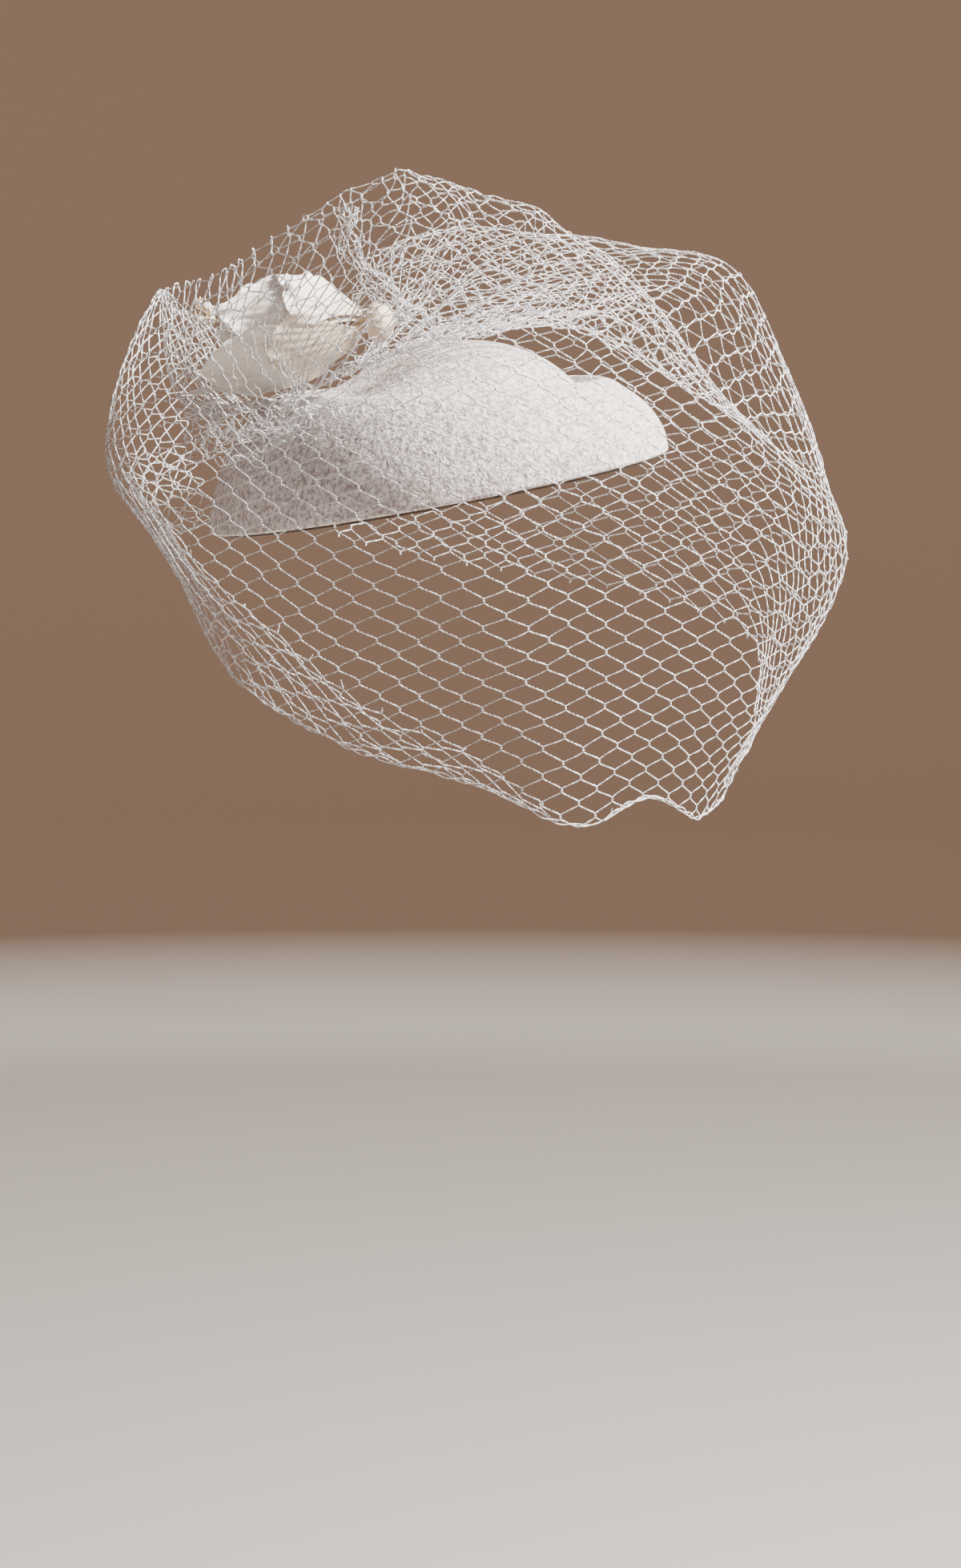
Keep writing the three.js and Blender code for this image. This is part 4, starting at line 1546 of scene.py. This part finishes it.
@dataclass
class CrumpledBand:
    """A narrow band of the same veiling, rolled and crushed along a path."""

    name: str
    node: str
    path: tuple[Point, ...]
    width: float
    roll: float
    columns: int
    half_rows: int
    crush: float
    seed: int
    twist: float = 0.0
    samples: int = 160

    def build(self, thread: NetThread, weaver: NetWeaver, rest: FeltRest) -> None:
        """Make the band's strands and knots.

        Args:
            thread: The thread of the veiling.
            weaver: What turns lines into thread.
            rest: The felt that the band lies on.
        """
        rng = np.random.default_rng(self.seed)
        dense = np.linspace(0, 1, self.samples)
        line = catmull_rom(np.array(self.path)[None], dense)[0]
        ahead = unit(np.gradient(line, axis=0))
        up = unit(np.array([0.0, 0.0, 1.0]) - ahead * ahead[:, 2:])
        side = np.cross(ahead, up)
        shifts = rng.uniform(0, 50, 3)
        pitch = math.radians(self.roll) * self.width / 2 / self.half_rows

        def place(share: np.ndarray, climb: np.ndarray) -> tuple[np.ndarray, np.ndarray]:
            """Return points of the rolled band.

            Args:
                share: Shares of the way along.
                climb: Distances round the roll.

            Returns:
                The points and the outward normals there.
            """
            share = np.clip(share, 0, 1)
            spot, across, rise = (
                np.stack([np.interp(share, dense, table[:, k]) for k in range(3)], -1)
                for table in (line, side, up)
            )
            part = climb / (self.half_rows * pitch)
            angle = np.radians(self.roll) * part + self.twist * share
            size = self.width * (0.75 + 0.25 * np.sin(TWO_PI * 3.7 * share + self.seed))
            out = np.cos(angle)[..., None] * across + np.sin(angle)[..., None] * rise
            jolts = []
            for k, shift in enumerate(shifts):
                spots = np.stack([share * 60, part * 6, 0 * part + k], -1)
                jolts.append(turbulence(spots, 3.0, shift))
            jolt = np.stack(jolts, -1)
            return rest.lift(spot + out * size[..., None] / 2 + jolt * self.crush), out

        net = Lattice(thread, self.columns, self.half_rows, pitch, rng).lay(place)
        weaver.strands(f"{self.name}_threads", net, self.node)
        weaver.knots(f"{self.name}_knots", net, self.node)


def ring_path(shape: VeilShape, first: float, last: float, count: int = 9) -> tuple[Point, ...]:
    """Return a path along the gather between two azimuths."""
    return tuple(tuple(point) for point in shape.gather_point(np.linspace(first, last, count)))


@dataclass
class NetTrim:
    """The crushed ends of the net: the ruche at the gather, the mouth's roll and the tuft."""

    shape: VeilShape
    rest: FeltRest

    def bands(self) -> list[CrumpledBand]:
        """Lay out the crushed bands.

        Returns:
            Every band.
        """
        def path(*stops: Point) -> tuple[Point, ...]:
            """Return points from azimuths, distances and heights."""
            return tuple(tuple(around(azimuth, pair)) for azimuth, *pair in stops)

        mouth = path(
            (50, 0.036, 0.004), (64, 0.046, 0.014), (75, 0.054, 0.026),
            (79, 0.058, 0.037), (77, 0.060, 0.046),
        )
        low = path(
            (84, 0.066, -0.024), (98, 0.079, -0.030), (111, 0.084, -0.031), (124, 0.084, -0.027),
        )
        high = path(
            (80, 0.061, -0.019), (95, 0.074, -0.023), (110, 0.081, -0.024), (127, 0.085, -0.019),
        )
        ruche = ring_path(self.shape, 122, -20)
        return [
            CrumpledBand("gather_ruche", "veil", ruche, 0.0055, 280, 12, 4, 0.0014, 3),
            CrumpledBand("mouth_roll", "veil", mouth, 0.0075, 240, 8, 7, 0.0016, 5, twist=1.5),
            CrumpledBand("tuft_low", "net_frill", low, 0.014, 320, 6, 8, 0.0042, 7),
            CrumpledBand("tuft_high", "net_frill", high, 0.012, 320, 7, 7, 0.0038, 9, twist=0.8),
        ]

    def build(self, thread: NetThread, weaver: NetWeaver) -> None:
        """Make every band."""
        for band in self.bands():
            band.build(thread, weaver, self.rest)


# --- The bloom ------------------------------------------------------------------------------


@dataclass(frozen=True)
class Petal:
    """One petal: the way it faces, how far it reaches and how its edge behaves."""

    name: str
    node: str
    middle: float
    span: float
    foot: float
    reach: float
    spread: float
    flare: float = 0.002
    point: float = 0.0
    # How much painted tan shade the petal gets.
    tone: float = 0.2


@dataclass
class Bloom:
    """The silk bloom that lies on its side on the felt, with its button and its stamens."""

    foot: Point = (-0.0318, 0.0035, 0.008)
    mouth: Point = (-0.0594, 0.0509, 0.004)
    # The cup's outline: shares of its length, and radii.
    profile: tuple[tuple[float, float], ...] = (
        (0.0, 0.004), (0.15, 0.012), (0.4, 0.0195), (0.7, 0.0215), (1.0, 0.0225),
    )
    flatness: float = 0.85
    top_droop: float = 0.46
    # The tone of each petal is how much painted tan shade it gets.
    petals: tuple[Petal, ...] = (
        Petal("inner_1", "petal_inner_1", 50, 128, 0.0052, 0.84, 0.72, 0.001, tone=0.3),
        Petal("inner_2", "petal_inner_2", 176, 120, 0.0052, 0.78, 0.74, 0.001, tone=0.1),
        Petal("inner_3", "petal_inner_3", 290, 128, 0.0052, 0.90, 0.72, 0.001, tone=0.4),
        Petal("outer_1", "petal_outer_1", 10, 98, 0.0026, 0.96, 0.98, tone=0.25),
        Petal("outer_2", "petal_outer_2", 96, 108, 0.0026, 0.64, 0.84, 0.001, point=0.4, tone=0.0),
        Petal("outer_3", "petal_outer_3", 150, 100, 0.0026, 0.85, 0.93, tone=0.0),
        Petal("outer_4", "petal_outer_4", 222, 96, 0.0026, 0.93, 1.0, tone=0.1),
        Petal("outer_5", "petal_outer_5", 290, 98, 0.0026, 1.14, 0.95, tone=0.2),
        Petal("wrap_near", "petal_outer_4", 206, 84, 0.0016, 0.52, 1.10, 0.001, tone=0.95),
        Petal("wrap_top", "petal_outer_3", 136, 84, 0.0016, 0.46, 0.98, 0.0, tone=0.0),
    )
    rows: int = 48
    columns: int = 45
    cloth: float = 0.0004
    # Waves of the silk, out of its surface: broad lobes, the frilled edge and fine crinkles.
    lobes: float = 0.0007
    frill: float = 0.0008
    crinkle: float = 0.00018
    overlap: float = 0.0012
    side_curl: float = 0.0009
    tip_wave: float = 0.0012
    # The button's outline: radii, and places along the bloom's axis.
    button: tuple[tuple[float, float], ...] = (
        (0.0, -0.007), (0.0030, -0.0068), (0.0046, -0.0059), (0.0061, -0.0042), (0.0065, -0.0028),
        (0.0065, -0.0006), (0.0053, 0.0004), (0.0040, 0.0010), (0.0020, 0.0012), (0.0, 0.0012),
    )
    button_sides: int = 60
    button_pleats: int = 15
    button_pleat_depth: float = 0.035
    pearls: int = 5
    pearl_radius: float = 0.0020
    # Each bead beside a pearl: how far up and sideways it is, and its share of the pearl's size.
    beads: tuple[Point, ...] = ((0.0017, -0.0008, 0.42), (-0.0006, -0.0016, 0.36))
    stem_start: float = 0.0026
    stem_sag: float = 0.0025
    stem_radius: float = 0.00035
    stamen_reach: float = 0.0565
    stamen_stagger: float = 0.003
    stamen_spread: float = 0.0030
    stamen_lift: float = 0.0075

    def __post_init__(self) -> None:
        """Work out the axes of the bloom and its outline."""
        foot, mouth = np.array(self.foot), np.array(self.mouth)
        self.length = float(np.linalg.norm(mouth - foot))
        self.axis = (mouth - foot) / self.length
        self.side = unit(np.cross(self.axis, [0.0, 0.0, 1.0]))
        self.up = np.cross(self.side, self.axis)
        table = np.array(self.profile)
        controls = np.stack([table[:, 0], table[:, 1], 0 * table[:, 0]], 1)[None]
        self.outline = catmull_rom(controls, np.linspace(0, 1, 200))[0]

    def point(self, along: np.ndarray, radius: np.ndarray, angle: np.ndarray) -> np.ndarray:
        """Return points of the cup, flat where it lies on the felt and drooping over its mouth.

        Args:
            along: Distances along the axis.
            radius: Distances from it.
            angle: Places round it, in radians.

        Returns:
            The points, with their coordinates on a new last axis.
        """
        sine = np.sin(angle)
        droop = 1 - self.top_droop * smooth(0.4, 1.05, along / self.length)
        rise = sine * np.where(sine < 0, self.flatness, droop)
        return (
            np.array(self.foot) + along[..., None] * self.axis
            + (radius * np.cos(angle))[..., None] * self.side
            + (radius * rise)[..., None] * self.up
        )

    def sheet_faces(self) -> Faces:
        """Join the outside and the inside of a petal along its edge.

        Returns:
            The faces of the closed sheet of silk.
        """
        count = self.rows * self.columns
        faces = grid_faces(self.rows, self.columns)
        faces += [tuple(reversed(face)) for face in grid_faces(self.rows, self.columns, start=count)]
        loop = list(range(self.columns))
        loop += [i * self.columns + self.columns - 1 for i in range(1, self.rows)]
        loop += [count - 1 - j for j in range(1, self.columns)]
        loop += [(self.rows - 1 - i) * self.columns for i in range(1, self.rows - 1)]
        return faces + [(b, a, a + count, b + count) for a, b in zip(loop, loop[1:] + loop[:1])]

    def petal(
        self, petal: Petal, number: int, material: bpy.types.Material, button: bpy.types.Object
    ) -> bpy.types.Object:
        """Make one petal, narrow at the foot, rounded and ruffled at the tip.

        Args:
            petal: The petal's sizes.
            number: Its place in the list, which sets the phase of its ruffle.
            material: The silk.
            button: The button that it is bound to; not used.

        Returns:
            The petal.
        """
        share = np.linspace(0, 1, self.rows)[:, None] * np.ones((1, self.columns))
        across = np.linspace(-1, 1, self.columns)[None] * np.ones((self.rows, 1))
        rounded = np.sqrt(np.maximum(1 - ((share - 0.52) / 0.5) ** 2 * 0.9, 0))
        width = np.minimum(0.35 + 1.2 * share, rounded)
        width = width * (1 - petal.point * smooth(0.45, 1.0, share))
        half_span = math.radians(petal.span / 2)
        angle = math.radians(petal.middle) + across * half_span * width
        radius = np.interp(share * petal.reach, self.outline[:, 0], self.outline[:, 1]) * petal.spread
        edge = np.maximum(np.abs(across) ** 4, smooth(0.7, 1.0, share))
        ruffle = self.lobes * np.sin(6 * angle + 2.1 * number) * share
        ruffle = ruffle + self.frill * np.sin(15 * angle + 9 * share + number) * edge * share
        crinkle = self.crinkle * np.sin(43 * angle + 5 * share + 3 * number)
        ruffle = ruffle + crinkle * smooth(0.15, 0.5, share)
        tuck = self.overlap * across * width * np.minimum(3 * share, 1)
        curl = petal.flare * smooth(0.7, 1.0, share) + self.side_curl * np.abs(across) ** 5 * share
        along = petal.foot + (share - 0.13 * across**2 * share**2) * self.length * petal.reach
        along = along * (1 - 0.10 * np.maximum(np.sin(angle), 0.0) * smooth(0.5, 1.0, share))
        along = along + self.tip_wave * np.sin(4 * angle + number) * smooth(0.6, 1.0, share)
        grid = self.point(along, radius + tuck + ruffle + curl, angle)
        normals = grid_normals(grid)
        sheets = np.concatenate([grid + normals * self.cloth / 2, grid - normals * self.cloth / 2])
        piece = new_mesh_object(f"petal_{petal.name}_silk", sheets.reshape(-1, 3), self.sheet_faces())
        crosswise = across * width * radius * half_span
        places = np.stack([crosswise, share * self.length * petal.reach], -1).reshape(-1, 2)
        add_uv(piece, np.concatenate([places, places]))
        add_point_data(piece, "petal_share", np.tile(share.ravel(), 2))
        # Painted shade: the petal's share of the tan shade.
        add_point_data(piece, "petal_tone", np.full(2 * share.size, petal.tone))
        dress(piece, material, Slot.SILK, petal.node)
        return piece

    def build_petals(self, material: bpy.types.Material, button: bpy.types.Object) -> None:
        """Make every petal."""
        for number, petal in enumerate(self.petals):
            self.petal(petal, number, material, button)

    def build_button(self, material: bpy.types.Material) -> bpy.types.Object:
        """Make the silk-wrapped button that the petals are bound to.

        Args:
            material: The silk.

        Returns:
            The piece.
        """
        sides = self.button_sides
        turn = TWO_PI * np.arange(sides) / sides
        pleat = 1 + self.button_pleat_depth * np.sin(self.button_pleats * turn)
        foot = np.array(self.foot)
        rows = []
        for radius, along in self.button[1:-1]:
            ring = (radius * pleat * np.cos(turn))[:, None] * self.side
            ring = ring + (radius * pleat * np.sin(turn))[:, None] * self.up
            rows.append(foot + along * self.axis + ring)
        ends = [foot + self.button[k][1] * self.axis for k in (0, -1)]
        faces = [tuple(reversed(face)) for face in grid_faces(len(rows), sides, closed=True)]
        faces += pole_faces(len(rows), sides, turned=True)
        piece = new_mesh_object("flower_button", np.concatenate([*rows, ends]), faces)
        return dress(piece, material, Slot.SILK, "flower_foot")

    def stamen_heads(self) -> list[np.ndarray]:
        """Place the pearls.

        Returns:
            The middle of each.
        """
        heads = []
        for k in range(self.pearls):
            turn = TWO_PI * k / self.pearls
            spot = np.array(self.foot) + (self.stamen_reach + k % 2 * self.stamen_stagger) * self.axis
            spot = spot + self.stamen_spread * (math.cos(turn) * self.side + math.sin(turn) * self.up)
            heads.append(spot + self.up * self.stamen_lift)
        return heads

    def stem(self, head: np.ndarray) -> tuple[np.ndarray, Faces]:
        """Shape the stem of one pearl.

        Args:
            head: The middle of the pearl.

        Returns:
            The stem's points and faces.
        """
        start = np.array(self.foot) + self.stem_start * self.axis
        middle = (start + head) / 2 - self.up * self.stem_sag
        line = catmull_rom(np.array([start, middle, head])[None], np.linspace(0, 1, 12))[0]
        return tube(line, self.stem_radius)

    def build_pearls(
        self, pearl: bpy.types.Material, gold: bpy.types.Material, stem: bpy.types.Material
    ) -> None:
        """Make the pearls, the gold beads between them and the stems that hold them.

        Args:
            pearl: The pearls' material.
            gold: The beads' material.
            stem: The stems' material.
        """
        heads = self.stamen_heads()
        pearls = [ball(head, self.pearl_radius) for head in heads]
        beads = [
            ball(head + self.up * above + self.side * beside, self.pearl_radius * size)
            for above, beside, size in self.beads for head in heads
        ]
        stems = [self.stem(head) for head in heads]
        for name, solids, material in (
            ("stamen_pearls", pearls, pearl), ("stamen_beads", beads, gold), ("stamen_stems", stems, stem),
        ):
            dress(new_mesh_object(name, *joined(solids)), material, Slot.PEARL, "stamens")


def ball(
    middle: np.ndarray, radius: float, rings: int = 14, sides: int = 22
) -> tuple[np.ndarray, Faces]:
    """Shape a ball.

    Args:
        middle: Its middle.
        radius: Its radius.
        rings: Number of bands from pole to pole.
        sides: Number of sides round it.

    Returns:
        Its points and faces.
    """
    rise = np.pi * np.arange(1, rings) / rings - np.pi / 2
    turn = TWO_PI * np.arange(sides) / sides
    level = np.cos(rise)[:, None]
    heights = np.sin(rise)[:, None] + 0 * turn
    grid = np.stack([level * np.cos(turn), level * np.sin(turn), heights], -1)
    points = np.concatenate([grid.reshape(-1, 3), [[0, 0, -1.0], [0, 0, 1.0]]]) * radius + middle
    faces = grid_faces(rings - 1, sides, closed=True) + pole_faces(rings - 1, sides)
    return points, faces


def tube(line: np.ndarray, radius: float, sides: int = 8) -> tuple[np.ndarray, Faces]:
    """Shape a round tube with closed ends.

    Args:
        line: The points that it follows.
        radius: Its radius.
        sides: Number of sides round it.

    Returns:
        Its points and faces.
    """
    ahead = unit(np.gradient(line, axis=0))
    beside = unit(np.cross(ahead, [0.0, 0.0, 1.0]))
    above = np.cross(beside, ahead)
    turn = TWO_PI * np.arange(sides) / sides
    rings = beside[:, None] * np.cos(turn)[None, :, None]
    rings = rings + above[:, None] * np.sin(turn)[None, :, None]
    points = (line[:, None] + rings * radius).reshape(-1, 3)
    faces = [tuple(reversed(face)) for face in grid_faces(len(line), sides, closed=True)]
    faces.append(tuple(range(sides)))
    faces.append(tuple(reversed(range((len(line) - 1) * sides, len(line) * sides))))
    return points, faces


def main() -> None:
    """Build the hat piece by piece."""
    logging.basicConfig(level=logging.INFO, format="%(message)s")
    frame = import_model()
    studio = Studio()
    studio.build_camera()
    studio.build_stage()
    studio.build_lights()
    felt = FeltFinish().build()
    thread = ThreadFinish("net_thread_white").build()
    silk = SilkFinish().build()
    ribbon = RIBBON_FINISH.build()
    pearl = PEARL_FINISH.build()
    plastic = COMB_FINISH.build()
    base = FeltBase()
    base.build(felt)
    base.build_binding(ribbon)
    shape, net = VeilShape(), NetThread()
    weaver = NetWeaver(net, thread)
    rest = FeltRest(base.surface())
    Veil(shape, net, rest).build(weaver)
    NetTrim(shape, rest).build(net, weaver)
    bloom = Bloom()
    bloom.build_petals(silk, bloom.build_button(silk))
    bloom.build_pearls(pearl, BEAD_FINISH.build(), STEM_FINISH.build())
    comb = frame["nodes"]["comb"]
    comb.data.materials.clear()
    comb.data.materials.append(plastic)


if __name__ == "__main__":
    main()
